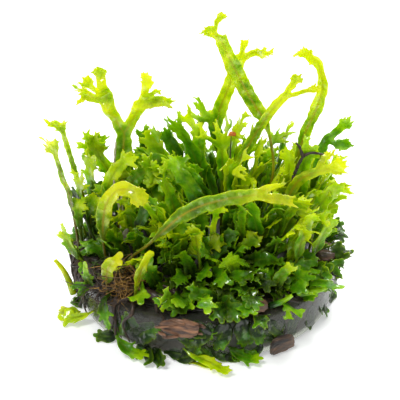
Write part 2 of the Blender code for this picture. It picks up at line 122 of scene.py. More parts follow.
def add_arm(ribs, start, lobe, chance):
    """Add one arm's ribs, a little bent, and those of what it forks into. A tip tapers to a point."""
    angle, length, width, tips = lobe
    lean = chance.uniform(-7, 7)
    middle = start + heading(angle - lean) * length / 2
    end = middle + heading(angle + lean) * length / 2
    blunt = not tips and length < 1.7 * width
    far = 0.52 * width if tips else 0.4 * width if blunt else 0.1
    waist = 0.42 * width
    ribs.append((start, middle, 0.46 * width, waist))
    ribs.append((middle, end, waist, far))
    if tips:
        add_webs(ribs, end, tips, chance)
        for tip in tips:
            add_arm(ribs, end, tip, chance)
    elif not blunt:
        add_teeth(ribs, start, end, angle, width, chance)


def add_side_lobes(ribs, width, stipe, fork, count, chance):
    """Short lobes along both margins of the upper blade, pointing forwards."""
    for number in range(count):
        side = 1 if number % 2 else -1
        share = 0.4 + 0.58 * (number + chance.random()) / count
        root = np.array((0.0, stipe + (fork - stipe) * share))
        reach = 0.5 * width + chance.uniform(0.5, 1.9)
        turn = side * chance.uniform(38, 62)
        ribs.append((root, root + heading(turn) * reach, 0.24 * width, 0.12 + 0.08 * width))


def ribs_of(width, stipe, fork, arms, lobes, chance):
    """A frond's ribs: the stipe, the blade in short lengths that swell and narrow, and the arms."""
    ribs = [(np.array((0.0, 0.0)), np.array((0.0, stipe)), STIPE_HALF, STIPE_HALF)]
    shares = np.linspace(0.0, 1.0, 9)
    opened = np.sin(np.clip(shares / 0.42, 0, 1) * math.pi / 2) ** 1.2
    narrowed = 1.0 - 0.22 * np.clip((shares - 0.6) / 0.4, 0, 1) ** 2
    halves = STIPE_HALF + (0.5 * width - STIPE_HALF) * opened * narrowed
    halves *= 1.0 + 0.07 * np.sin(shares * chance.uniform(9, 15) + chance.uniform(0, 6))
    stations = stipe + shares * (fork - stipe)
    for low, high, wide, next_wide in zip(stations, stations[1:], halves, halves[1:]):
        ribs.append((np.array((0.0, low)), np.array((0.0, high)), wide, next_wide))
    add_webs(ribs, np.array((0.0, fork)), arms, chance)
    for lobe in arms:
        add_arm(ribs, np.array((0.0, fork)), lobe, chance)
    add_side_lobes(ribs, width, stipe, fork, lobes, chance)
    return ribs


def outline_field(places, ribs):
    """How far each flat place is outside the outline, and how far from its nearest rib's line.

    A rib is a tapered capsule: the distance to its line less its half width at that point of the
    line. The capsules are joined by a soft minimum, which webs the forks.
    """
    starts, ends = np.array([rib[0] for rib in ribs]), np.array([rib[1] for rib in ribs])
    wide, far_wide = np.array([rib[2] for rib in ribs]), np.array([rib[3] for rib in ribs])
    lines = ends - starts
    lengths = np.maximum(np.linalg.norm(lines, axis=1), 1e-6)
    offsets = places[:, None, :] - starts[None, :, :]
    share = np.clip((offsets * lines).sum(axis=2) / lengths ** 2, 0.0, 1.0)
    off_line = np.linalg.norm(offsets - share[:, :, None] * lines, axis=2)
    outside = off_line - (wide + share * (far_wide - wide))
    nearest = outside.argmin(axis=1)
    lowest = outside.min(axis=1)
    soft = lowest - WEB * np.log(np.exp((lowest[:, None] - outside) / WEB).sum(axis=1))
    return soft, off_line[np.arange(len(places)), nearest]


def cut_sheet(field, columns):
    """Triangles of a grid inside the zero line of its field, cut along that line.

    Each cell is two triangles. A triangle with one or two corners outside is cut where the field
    crosses zero on its edges. The cut points are numbered after the grid's own, and come back as
    pairs of grid numbers with the share of the way between them.
    """
    count = len(field)
    numbers = np.arange(count).reshape(-1, columns)
    a, b, c, d = numbers[:-1, :-1], numbers[:-1, 1:], numbers[1:, 1:], numbers[1:, :-1]
    even = (np.add.outer(np.arange(a.shape[0]), np.arange(a.shape[1])) % 2 == 0)
    triangles = np.concatenate((
        np.stack((a, b, c), -1)[even], np.stack((a, c, d), -1)[even],
        np.stack((a, b, d), -1)[~even], np.stack((b, c, d), -1)[~even],
    ))
    inside = field[triangles] < 0
    total = inside.sum(axis=1)

    def first(mask, pick):
        """The masked triangles, turned so that the corner where pick holds comes first."""
        some = triangles[mask]
        turn = pick[mask].argmax(axis=1)
        order = (turn[:, None] + np.arange(3)) % 3
        return np.take_along_axis(some, order, axis=1)

    whole = triangles[total == 3]
    one, two = first(total == 1, inside), first(total == 2, ~inside)
    edges = np.concatenate((one[:, [0, 1]], one[:, [0, 2]], two[:, [1, 0]], two[:, [2, 0]]))
    keys, place = np.unique(edges[:, 0] * count + edges[:, 1], return_inverse=True)
    pairs = np.stack((keys // count, keys % count), axis=1)
    cut = place.reshape(-1) + count
    near, far = np.split(cut[: 2 * len(one)], 2)
    low, high = np.split(cut[2 * len(one):], 2)
    faces = np.concatenate((
        whole,
        np.stack((one[:, 0], near, far), 1),
        np.stack((low, two[:, 1], two[:, 2]), 1),
        np.stack((low, two[:, 2], high), 1),
    ))
    inner, outer = field[pairs[:, 0]], field[pairs[:, 1]]
    share = np.clip(inner / (inner - outer), 0.08, 0.92)
    return faces, pairs, share


# ---- Midribs and blades -------------------------------------------------------------------------

def unit(vectors):
    """The vectors at length one."""
    return vectors / np.maximum(np.linalg.norm(vectors, axis=-1, keepdims=True), 1e-9)


def smooth_path(points, samples=SPAN_SAMPLES):
    """Catmull-Rom curve through the points: places and their distances along it."""
    knots = np.array(points, dtype=float)
    padded = np.vstack((2 * knots[0] - knots[1], knots, 2 * knots[-1] - knots[-2]))
    turn = np.linspace(0.0, 1.0, samples, endpoint=False)[:, None]
    spans = []
    for before, start, end, after in zip(padded, padded[1:], padded[2:], padded[3:]):
        spans.append(
            0.5 * (2 * start + (end - before) * turn
                   + (2 * before - 5 * start + 4 * end - after) * turn ** 2
                   + (3 * start - before - 3 * end + after) * turn ** 3)
        )
    places = np.vstack((*spans, knots[-1:]))
    steps = np.linalg.norm(np.diff(places, axis=0), axis=1)
    return places, np.concatenate(((0.0,), np.cumsum(steps)))


def lay_on_midrib(flat, points, facing, bend, chance):
    """Bend flat places onto the midrib: its curve, its side way and its upper way.

    The blade is a shallow gutter, its margins are waved along their length, and the crest past the
    fork nods and ripples. bend is (gutter, wave, nod, twist in degrees).
    """
    gutter, wave, nod, twist = bend
    places, run = smooth_path(points)
    fork = run[-1 - SPAN_SAMPLES]
    tangents = unit(np.gradient(places, run, axis=0))
    across, along = flat[:, 0], flat[:, 1]
    inside = np.clip(along, 0.0, run[-1])
    centre = np.stack([np.interp(inside, run, places[:, axis]) for axis in range(3)], axis=1)
    tangent = unit(np.stack([np.interp(inside, run, tangents[:, axis]) for axis in range(3)], axis=1))
    side = unit(np.cross(tangent, facing))
    upper = np.cross(side, tangent)
    turn = np.radians(twist) * (along / run[-1] - 0.5)[:, None]
    cosine, sine = np.cos(turn), np.sin(turn)
    side, upper = side * cosine + upper * sine, upper * cosine - side * sine
    past = np.maximum(along - fork, 0.0)
    phases = chance.uniform(0, 2 * math.pi, 4)
    spread = np.abs(across)
    lift = gutter * (np.sqrt(spread ** 2 + 0.5) - 0.7) + nod * past ** 2
    lift += wave * np.minimum(spread, 4.0) ** 1.5 * 0.16 * np.sin(
        along * 0.75 + phases[0] + np.sign(across) * phases[1])
    ripple = np.sin(across * 0.55 + along * 0.35 + phases[2])
    ripple += np.sin(across * 0.9 - along * 0.5 + phases[3])
    lift += wave * 0.07 * np.minimum(past + 0.5 * spread, 9.0) * ripple
    along_rest = tangent * (along - inside)[:, None]
    return centre + along_rest + side * across[:, None] + upper * lift[:, None], upper


def blade(points, facing, width, stipe, arms, bend, seed, cell=FINE_CELL, tone=0.5, lobes=0):
    """One frond as a closed lens: two skins that meet along the outline, thicker along the ribs.

    A leaf whose edge would dip into the floor is lifted to rest on it. Returns its places, its
    triangles, and for each place (tip share, rib closeness, edge closeness, tone).
    """
    chance = np.random.default_rng(seed)
    _, run = smooth_path(points)
    fork = run[-1 - SPAN_SAMPLES]
    ribs = ribs_of(width, stipe, fork, arms, lobes, chance)
    corners = np.array([rib[0] for rib in ribs] + [rib[1] for rib in ribs])
    low, high = corners.min(axis=0) - 0.5 * width - 0.6, corners.max(axis=0) + 0.5 * width + 0.6
    columns, rows = (int(math.ceil(size / cell)) + 1 for size in high - low)
    steps = np.meshgrid(low[0] + cell * np.arange(columns), low[1] + cell * np.arange(rows))
    grid = np.stack(steps, -1).reshape(-1, 2)
    field, off_rib = outline_field(grid, ribs)
    waver = 0.1 * np.sin(grid[:, 1] * 2.1 + chance.uniform(0, 6)) * np.sin(grid[:, 0] * 1.7 + 1.0)
    field = field + waver * np.clip((grid[:, 1] - stipe) / 5.0, 0, 1)
    field[np.abs(field) < 0.02] = -0.02
    faces, pairs, share = cut_sheet(field, columns)
    mixed = [
        values[pairs[:, 0]] * (1 - share[:, None]) + values[pairs[:, 1]] * share[:, None]
        for values in (grid, off_rib[:, None])
    ]
    kept = np.unique(faces[faces < len(grid)])
    renumber = np.zeros(len(grid) + len(pairs), dtype=np.int64)
    renumber[kept] = np.arange(len(kept))
    renumber[len(grid):] = 2 * len(kept) + np.arange(len(pairs))
    flat = np.concatenate((grid[kept], mixed[0]))
    depth = np.concatenate((-field[kept], np.zeros(len(pairs))))
    off_rib = np.concatenate((off_rib[kept], mixed[1][:, 0]))
    spine, upper = lay_on_midrib(flat, points, facing, bend, chance)
    stem = np.clip((stipe - flat[:, 1]) / 4.0, 0, 1)
    blade_half = FLESH_HALF * np.sqrt(np.clip(depth / 0.55, 0, 1))
    rib = np.exp(-(off_rib / RIB_REACH) ** 2)
    ridge = 0.2 * rib * np.clip(1.15 - flat[:, 1] / (fork * 1.3), 0.15, 1)
    stem_half = np.sqrt(np.clip(STIPE_HALF ** 2 - flat[:, 0] ** 2, 0, 1))
    over = blade_half * (1 - stem) + 0.8 * stem_half * stem
    under = over + np.where(depth > 0, ridge * (1 - stem), 0)
    inner = slice(0, len(kept))
    top = spine[inner] + upper[inner] * over[inner, None]
    bottom = spine[inner] - upper[inner] * under[inner, None]
    places = np.concatenate((top, bottom, spine[len(kept):])) * MM
    places[:, 2] += max(0.0, FLOOR_GAP * MM - places[:, 2].min())
    upper_faces = renumber[faces]
    lower_faces = np.where(upper_faces < len(kept), upper_faces + len(kept), upper_faces)[:, ::-1]
    length = flat[:, 1].max()
    broad = np.where(flat[:, 1] < stipe, 1.0, np.clip((depth + off_rib) / 1.6, 0.1, 1.0) ** 1.5)
    traits = np.stack((
        np.clip((flat[:, 1] - stipe) / (length - stipe), 0, 1), broad * rib, np.exp(-depth / 0.5),
        np.full(len(flat), tone),
    ), axis=1)
    both = np.concatenate((np.arange(len(kept)), np.arange(len(flat))))
    return places, np.concatenate((upper_faces, lower_faces)), traits[both]


# ---- Meshes -------------------------------------------------------------------------------------

def ring_faces(count, sides):
    """Triangles over a number of rings: the walls between them, and both ends closed to a middle.

    The rings' places come ring by ring, then the first end's middle and the last's. The triangles
    face outwards where the rings run anticlockwise, seen from the last end, and inwards otherwise.
    """
    near = np.arange(sides)
    far = (near + 1) % sides
    row = np.arange(count - 1)[:, None] * sides
    quads = np.stack((row + near, row + far, row + far + sides, row + near + sides), -1).reshape(-1, 4)
    last = (count - 1) * sides
    first_middle, last_middle = (np.full(sides, count * sides + end) for end in (0, 1))
    return np.concatenate((
        quads[:, [0, 1, 2]], quads[:, [0, 2, 3]],
        np.stack((far, near, first_middle), 1), np.stack((near + last, far + last, last_middle), 1),
    ))


def piece(name, parts, finish, slot, *nodes):
    """One named piece on the body "root", from parts of (places, faces) or (places, faces, traits)."""
    start, places, faces = 0, [], []
    for part in parts:
        places.append(part[0])
        faces.append(part[1] + start)
        start += len(part[0])
    places, faces = np.concatenate(places), np.concatenate(faces)
    mesh = bpy.data.meshes.new(name)
    mesh.vertices.add(len(places))
    mesh.vertices.foreach_set("co", places.astype(np.float32).ravel())
    corners = faces.shape[1]
    mesh.loops.add(faces.size)
    mesh.loops.foreach_set("vertex_index", faces.astype(np.int32).ravel())
    mesh.polygons.add(len(faces))
    mesh.polygons.foreach_set("loop_start", np.arange(0, faces.size, corners, dtype=np.int32))
    mesh.update(calc_edges=True)
    if len(parts[0]) > 2:
        traits = np.concatenate([part[2] for part in parts]).astype(np.float32)
        told = mesh.attributes.new("blade", "FLOAT_COLOR", "POINT")
        told.data.foreach_set("color", traits.ravel())
    mesh.shade_smooth()
    mesh.validate()
    made = bpy.data.objects.new(name, mesh)
    bpy.context.scene.collection.objects.link(made)
    mesh.materials.append(finish)
    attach(made, "root")
    if nodes:
        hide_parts(*nodes)


def tube(points, radius, sides=8, taper=0.35, lumps=0.0, seed=0, tone=0.0):
    """A closed round strand: a circle carried along a smooth curve, narrowing to its far end.

    The circle stands across the curve's direction, turned so that it never twists suddenly. With a
    tone it also gets a blade's traits, as a rolled leaf.
    """
    chance = np.random.default_rng(seed)
    places, run = smooth_path(points, 8)
    share = run / run[-1]
    tangents = unit(np.gradient(places, axis=0))
    side = unit(np.cross(tangents, np.array((0.31, 0.17, 0.93))))
    upper = np.cross(side, tangents)
    radii = radius * (1 - (1 - taper) * share ** 1.5)
    radii = radii * (1 + lumps * np.sin(run * 2.3 + chance.uniform(0, 6)))
    around = np.linspace(0, 2 * math.pi, sides, endpoint=False)
    cosine, sine = np.cos(around)[None, :, None], np.sin(around)[None, :, None]
    ring = cosine * side[:, None, :] + sine * upper[:, None, :]
    rings = places[:, None, :] + ring * radii[:, None, None]
    ends = np.array((places[0], places[-1]))
    vertices = np.concatenate((rings.reshape(-1, 3), ends)) * MM
    faces = ring_faces(len(places), sides)[:, ::-1]
    if not tone:
        return vertices, faces
    traits = np.zeros((len(vertices), 4))
    traits[:, 0] = np.concatenate((np.repeat(share, sides), (0.0, 1.0)))
    traits[:, 3] = tone
    return vertices, faces, traits


def lump_skin(centre, half_sizes, turn, lean, seed, rough=0.12, square=0.75, grain=0.0, rows=36):
    """A closed lump: a rounded box over latitude and longitude, pushed in and out by sine waves.

    square bends the globe towards a box, rough is the depth of the slow waves as a share of the
    size, and grain adds fine furrows that run along the lump's first axis.
    """
    chance = np.random.default_rng(seed)
    rise = np.linspace(-math.pi / 2, math.pi / 2, rows + 1)[1:-1]
    around = np.linspace(0, 2 * math.pi, 2 * rows, endpoint=False)
    rise, around = np.meshgrid(rise, around, indexing="ij")
    globe = np.stack((np.cos(rise) * np.cos(around), np.cos(rise) * np.sin(around), np.sin(rise)), -1)
    globe = np.concatenate((globe.reshape(-1, 3), ((0, 0, -1.0), (0, 0, 1.0))))
    boxed = np.sign(globe) * np.abs(globe) ** square
    swell = np.zeros(len(globe))
    for octave in (1.6, 3.1, 5.7, 10.3):
        waves = chance.normal(0, octave, (3, 3))
        swell += np.sin(globe @ waves + chance.uniform(0, 6, 3)).sum(axis=1) / octave
    furrow = np.abs(np.sin(globe[:, 2] * 9 + 1.4 * np.sin(globe[:, 0] * 4) + globe[:, 1] * 7))
    size = np.array(half_sizes, dtype=float)
    places = boxed * size * (1 + rough * swell[:, None])
    places += globe * (grain * (0.5 - furrow))[:, None]
    spin = Matrix.Rotation(math.radians(turn), 3, "Z") @ Matrix.Rotation(math.radians(lean), 3, "X")
    places = (places @ np.array(spin).T + np.array(centre)) * MM
    return places, ring_faces(rows - 1, 2 * rows)


def turned_skin(profile, sides, wave, rough=0.0):
    """A closed turned skin: rings at each (radius, height), from the centre of the top down the wall
    to the centre of the underside. wave lifts the top's rings a little, unevenly, and rough pushes
    the wall in and out by a share of its radius."""
    around = np.linspace(0, 2 * math.pi, sides, endpoint=False)
    rings = []
    for radius, height in profile[1:-1]:
        lift = wave * (height > 10) * (
            np.sin(3 * around + 0.15 * radius) + 0.6 * np.sin(7 * around - 0.3 * radius + 1)
            + np.sin(radius / 3))
        wide = radius * (1 + rough * (np.sin(5 * around + height) + np.sin(11 * around - 2 * height)
                                      + np.sin(23 * around + 3 * height)) / 3)
        rings.append(np.stack((wide * np.cos(around), wide * np.sin(around), height + lift), -1))
    ends = np.array(((0, 0, profile[0][1]), (0, 0, profile[-1][1])))
    places = np.concatenate((np.concatenate(rings), ends)) * MM
    return places, ring_faces(len(rings), sides)[:, ::-1]


# ---- Finishes -----------------------------------------------------------------------------------

def group(name, inputs, outputs):
    """An empty node group with the named (socket, kind, value) inputs and (socket, kind) outputs."""
    made = bpy.data.node_groups.new(name, "ShaderNodeTree")
    for socket, kind, value in inputs:
        made.interface.new_socket(name=socket, in_out="INPUT", socket_type=kind).default_value = value
    for socket, kind in outputs:
        made.interface.new_socket(name=socket, in_out="OUTPUT", socket_type=kind)
    return made, made.nodes.new("NodeGroupInput"), made.nodes.new("NodeGroupOutput")


class Sketch:
    """Short words for adding and linking nodes in one tree."""

    def __init__(self, tree):
        self.tree = tree

    def feed(self, socket, value):
        """A plain value or a link into a socket."""
        if isinstance(value, bpy.types.NodeSocket):
            self.tree.links.new(value, socket)
        else:
            socket.default_value = value

    def add(self, kind, settings=(), **values):
        """A node, its settings as (name, value) pairs, and plain values or links for its inputs."""
        node = self.tree.nodes.new(kind)
        for name, value in settings:
            setattr(node, name, value)
        for name, value in values.items():
            numbered = name[0] == "i" and name[1:].isdigit()
            self.feed(node.inputs[int(name[1:]) if numbered else name], value)
        return node

    def wire(self, source, target, *pairs):
        """Links from one node's outputs to another's inputs, as pairs of names."""
        for given, taken in pairs:
            self.tree.links.new(source.outputs[given], target.inputs[taken])

    def bump(self, shader, height, strength, depth):
        """A height made to stand up in a shader's normal."""
        node = self.add("ShaderNodeBump", (), Height=height, Strength=strength, Distance=depth)
        self.wire(node, shader, ("Normal", "Normal"))

    def maths(self, operation, first, second):
        """One sum on two values."""
        return self.add("ShaderNodeMath", (("operation", operation),), i0=first, i1=second).outputs[0]

    def noise(self, place, scale, detail=3.0):
        """Soft noise from 0 to 1 at a place."""
        return self.add("ShaderNodeTexNoise", (), Vector=place, Scale=scale, Detail=detail).outputs[0]

    def span(self, value, low, high, to_low=0.0, to_high=1.0):
        """A value carried from one span to another, held at its ends."""
        return self.add("ShaderNodeMapRange", (("clamp", True),), i0=value, i1=low, i2=high, i3=to_low,
                        i4=to_high).outputs[0]

    def mix(self, share, first, second, blend="MIX"):
        """Two colours mixed."""
        node = self.tree.nodes.new("ShaderNodeMix")
        node.data_type = "RGBA"
        node.blend_type = blend
        node.clamp_factor = True
        for number, value in ((0, share), (6, first), (7, second)):
            self.feed(node.inputs[number], value)
        return node.outputs[2]


COLOUR, VALUE = "NodeSocketColor", "NodeSocketFloat"


def blade_group():
    """Fern blade: dark below, green in the middle, yellow at the young tips, with ribs and net veins.

    Low on the tuft the darkening is partly older leaves and partly painted shade; the black at low leaves'
    feet is painted shade, and the pale flecks are painted sheen.
    """
    made, given, result = group("fern_blade", (
        ("Old", COLOUR, (0.01, 0.03, 0.002, 1)), ("Grown", COLOUR, (0.08, 0.2, 0.005, 1)),
        ("Young", COLOUR, (0.5, 0.55, 0.02, 1)), ("Rib", COLOUR, (0.3, 0.2, 0.02, 1)),
        ("Flecks", VALUE, 0.1),
    ), (("Colour", COLOUR), ("Roughness", VALUE), ("Coat", VALUE), ("Height", VALUE)))
    draw = Sketch(made)
    place = draw.add("ShaderNodeTexCoord").outputs["Object"]
    traits = draw.add("ShaderNodeAttribute", (("attribute_name", "blade"),))
    split = draw.add("ShaderNodeSeparateColor", (), Color=traits.outputs["Color"])
    tip, rib, edge = split.outputs[0], split.outputs[1], split.outputs[2]
    tone = traits.outputs["Alpha"]
    height = draw.add("ShaderNodeSeparateXYZ", (), Vector=place).outputs[2]
    cells = draw.add("ShaderNodeTexVoronoi", (("feature", "DISTANCE_TO_EDGE"),), Vector=place, Scale=900.0)
    veins = draw.span(cells.outputs["Distance"], 0.02, 0.14, 1.0, 0.0)
    blotch = draw.noise(place, 260.0, 4.0)
    slow = draw.noise(place, 60.0, 2.0)
    # Age and painted shade: tip share and tone give a leaf's own age. The swing by height darkens places low
    # on the tuft, partly as older leaves and partly as painted shade, and the dark side of the blotch and
    # slow noise is random tone that also stands in for shaded patches.
    age_and_shade = draw.maths("ADD", draw.maths("MULTIPLY", tip, 0.46), draw.maths("MULTIPLY", tone, 0.55))
    for swing in (draw.span(height, 0.012, 0.065, -0.3, 0.3), draw.span(blotch, 0.3, 0.7, -0.26, 0.2),
                  draw.span(slow, 0.35, 0.65, -0.3, 0.14)):
        age_and_shade = draw.maths("ADD", age_and_shade, swing)
    colour = draw.mix(draw.span(age_and_shade, 0.1, 0.48), given.outputs["Old"], given.outputs["Grown"])
    colour = draw.mix(draw.span(age_and_shade, 0.45, 0.95), colour, given.outputs["Young"])
    # Painted sheen: pale flecks over the blade that stand in for wet highlights, as much as the finish's
    # share allows.
    painted_sheen = draw.span(draw.noise(place, 420.0, 5.0), 0.52, 0.68)
    painted_sheen = draw.maths("MULTIPLY", painted_sheen, given.outputs["Flecks"])
    colour = draw.mix(painted_sheen, colour, (0.60, 0.70, 0.20, 1))
    colour = draw.mix(draw.maths("MULTIPLY", veins, 0.3), colour, (0.75, 0.8, 0.25, 1), "SOFT_LIGHT")
    colour = draw.mix(draw.maths("MULTIPLY", edge, 0.2), colour, given.outputs["Young"])
    low_rib = draw.maths("MULTIPLY", rib, draw.span(tip, 0.2, 0.9, 0.95, 0.25))
    colour = draw.mix(low_rib, colour, given.outputs["Rib"])
    # Painted shade: the foot of each leaf low on the tuft, below about 42 mm and not of the brightest tones,
    # is blackened as if light hardly reached between the leaves.
    painted_foot_shade = draw.span(tip, 0.08, 0.5, 0.9, 0.0)
    for less in (draw.span(height, 0.014, 0.042, 1.0, 0.0), draw.span(tone, 0.95, 1.3, 1.0, 0.0)):
        painted_foot_shade = draw.maths("MULTIPLY", painted_foot_shade, less)
    colour = draw.mix(painted_foot_shade, colour, (0.002, 0.008, 0.0003, 1))
    bump = draw.maths("ADD", draw.maths("MULTIPLY", veins, 0.35), draw.maths("MULTIPLY", blotch, 0.7))
    drops = draw.span(draw.noise(place, 520.0, 2.0), 0.53, 0.6)
    links = made.links
    links.new(colour, result.inputs["Colour"])
    links.new(draw.span(blotch, 0.3, 0.7, 0.24, 0.42), result.inputs["Roughness"])
    links.new(draw.maths("MULTIPLY", drops, 0.9), result.inputs["Coat"])
    links.new(bump, result.inputs["Height"])
    return made


def wood_group():
    """Waterlogged wood: dark furrows between lighter ridges, with worn pale spots."""
    made, given, result = group("drowned_wood", (
        ("Dark", COLOUR, (0.02, 0.012, 0.008, 1)), ("Light", COLOUR, (0.2, 0.13, 0.08, 1)),
        ("Scale", VALUE, 300.0),
    ), (("Colour", COLOUR), ("Roughness", VALUE), ("Height", VALUE)))
    draw = Sketch(made)
    place = draw.add("ShaderNodeTexCoord").outputs["Object"]
    drawn = draw.add("ShaderNodeMapping", (), Vector=place, Scale=(0.35, 0.35, 1.6), Rotation=(0.3, 0.9, 0.4))
    fine = draw.noise(drawn.outputs[0], given.outputs["Scale"], 6.0)
    broad = draw.noise(place, 150.0, 4.0)
    share = draw.maths("MULTIPLY", draw.span(fine, 0.35, 0.65), draw.span(broad, 0.3, 0.7, 0.35, 1.0))
    links = made.links
    links.new(draw.mix(share, given.outputs["Dark"], given.outputs["Light"]), result.inputs["Colour"])
    links.new(draw.span(fine, 0.3, 0.7, 0.45, 0.8), result.inputs["Roughness"])
    links.new(fine, result.inputs["Height"])
    return made


def material(name):
    """A new material with its shader, and a sketch of its tree."""
    made = bpy.data.materials.new(name)
    made.use_nodes = True
    return made, made.node_tree.nodes["Principled BSDF"], Sketch(made.node_tree)


def set_plain(shader, values):
    """Plain values on a shader's own sockets."""
    for socket, value in values.items():
        shader.inputs[socket].default_value = value


def blade_finish(shared, name, old, grown, young, rib, glow, painted_sheen):
    """A leaf's finish: thin flesh that lets light through, with a wet surface."""
    made, shader, draw = material(name)
    # The group's last input is the share of pale flecks of painted sheen.
    node = draw.add("ShaderNodeGroup", (("node_tree", shared),), Flecks=painted_sheen)
    for socket, colour in (("Old", old), ("Grown", grown), ("Young", young), ("Rib", rib)):
        node.inputs[socket].default_value = (*colour, 1)
    draw.wire(node, shader, ("Colour", "Base Color"), ("Roughness", "Roughness"), ("Coat", "Coat Weight"))
    draw.bump(shader, node.outputs["Height"], 0.5, 0.00025)
    set_plain(shader, {
        "Subsurface Weight": glow, "Subsurface Radius": (0.7, 1.0, 0.12), "Subsurface Scale": 0.0016,
        "Coat Roughness": 0.05, "Specular IOR Level": 0.14,
    })
    return made


def wood_finish(shared, name, dark, light, scale, wet):
    """Wood or root: the shared grain with its own two colours, a little wet."""
    made, shader, draw = material(name)
    node = draw.add("ShaderNodeGroup", (("node_tree", shared),), Dark=(*dark, 1), Light=(*light, 1),
                    Scale=scale)
    draw.wire(node, shader, ("Colour", "Base Color"), ("Roughness", "Roughness"))
    draw.bump(shader, node.outputs["Height"], 0.8, 0.0006)
    set_plain(shader, {"Coat Weight": wet, "Coat Roughness": 0.25})
    return made


def gel_finish():
    """Cloudy grey growing gel: clear flesh with a milky roughness that dims what lies deep in it."""
    made, shader, draw = material("clouded_gel")
    place = draw.add("ShaderNodeTexCoord").outputs["Object"]
    cloud = draw.noise(place, 70.0, 4.0)
    links = made.node_tree.links
    links.new(draw.mix(cloud, (0.42, 0.44, 0.36, 1), (0.74, 0.77, 0.68, 1)), shader.inputs["Base Color"])
    links.new(draw.span(cloud, 0.3, 0.7, 0.12, 0.3), shader.inputs["Roughness"])
    draw.bump(shader, draw.noise(place, 320.0, 3.0), 0.35, 0.0006)
    set_plain(shader, {"Transmission Weight": 0.95, "IOR": 1.34})
    murk = draw.add("ShaderNodeVolumeAbsorption", (), Color=(0.46, 0.46, 0.38, 1), Density=56.0)
    links.new(murk.outputs[0], made.node_tree.nodes["Material Output"].inputs["Volume"])
    return made


def plain_finish(name, colour, roughness, glow):
    """A matt surface for the floor, with a little glow of its own to keep it pale."""
    made, shader, _ = material(name)
    set_plain(shader, {
        "Base Color": (*colour, 1), "Roughness": roughness, "Emission Color": (*colour, 1),
        "Emission Strength": glow,
    })
    return made


# ---- What grows where ---------------------------------------------------------------------------

# The ways that a frond's upper side faces.
FRONT = (0.0, -1.0, 0.15)
LEFT_FRONT = (-0.5, -0.85, 0.15)
RIGHT_FRONT = (0.5, -0.85, 0.15)
UP_FRONT = (0.0, -0.75, 0.65)
BACK = (0.0, 1.0, 0.3)
LEFT_BACK = (-0.7, 0.7, 0.3)
RIGHT_BACK = (0.7, 0.7, 0.3)
UP = (0.0, -0.3, 1.0)
LEVEL = (0.0, 0.0, 1.0)

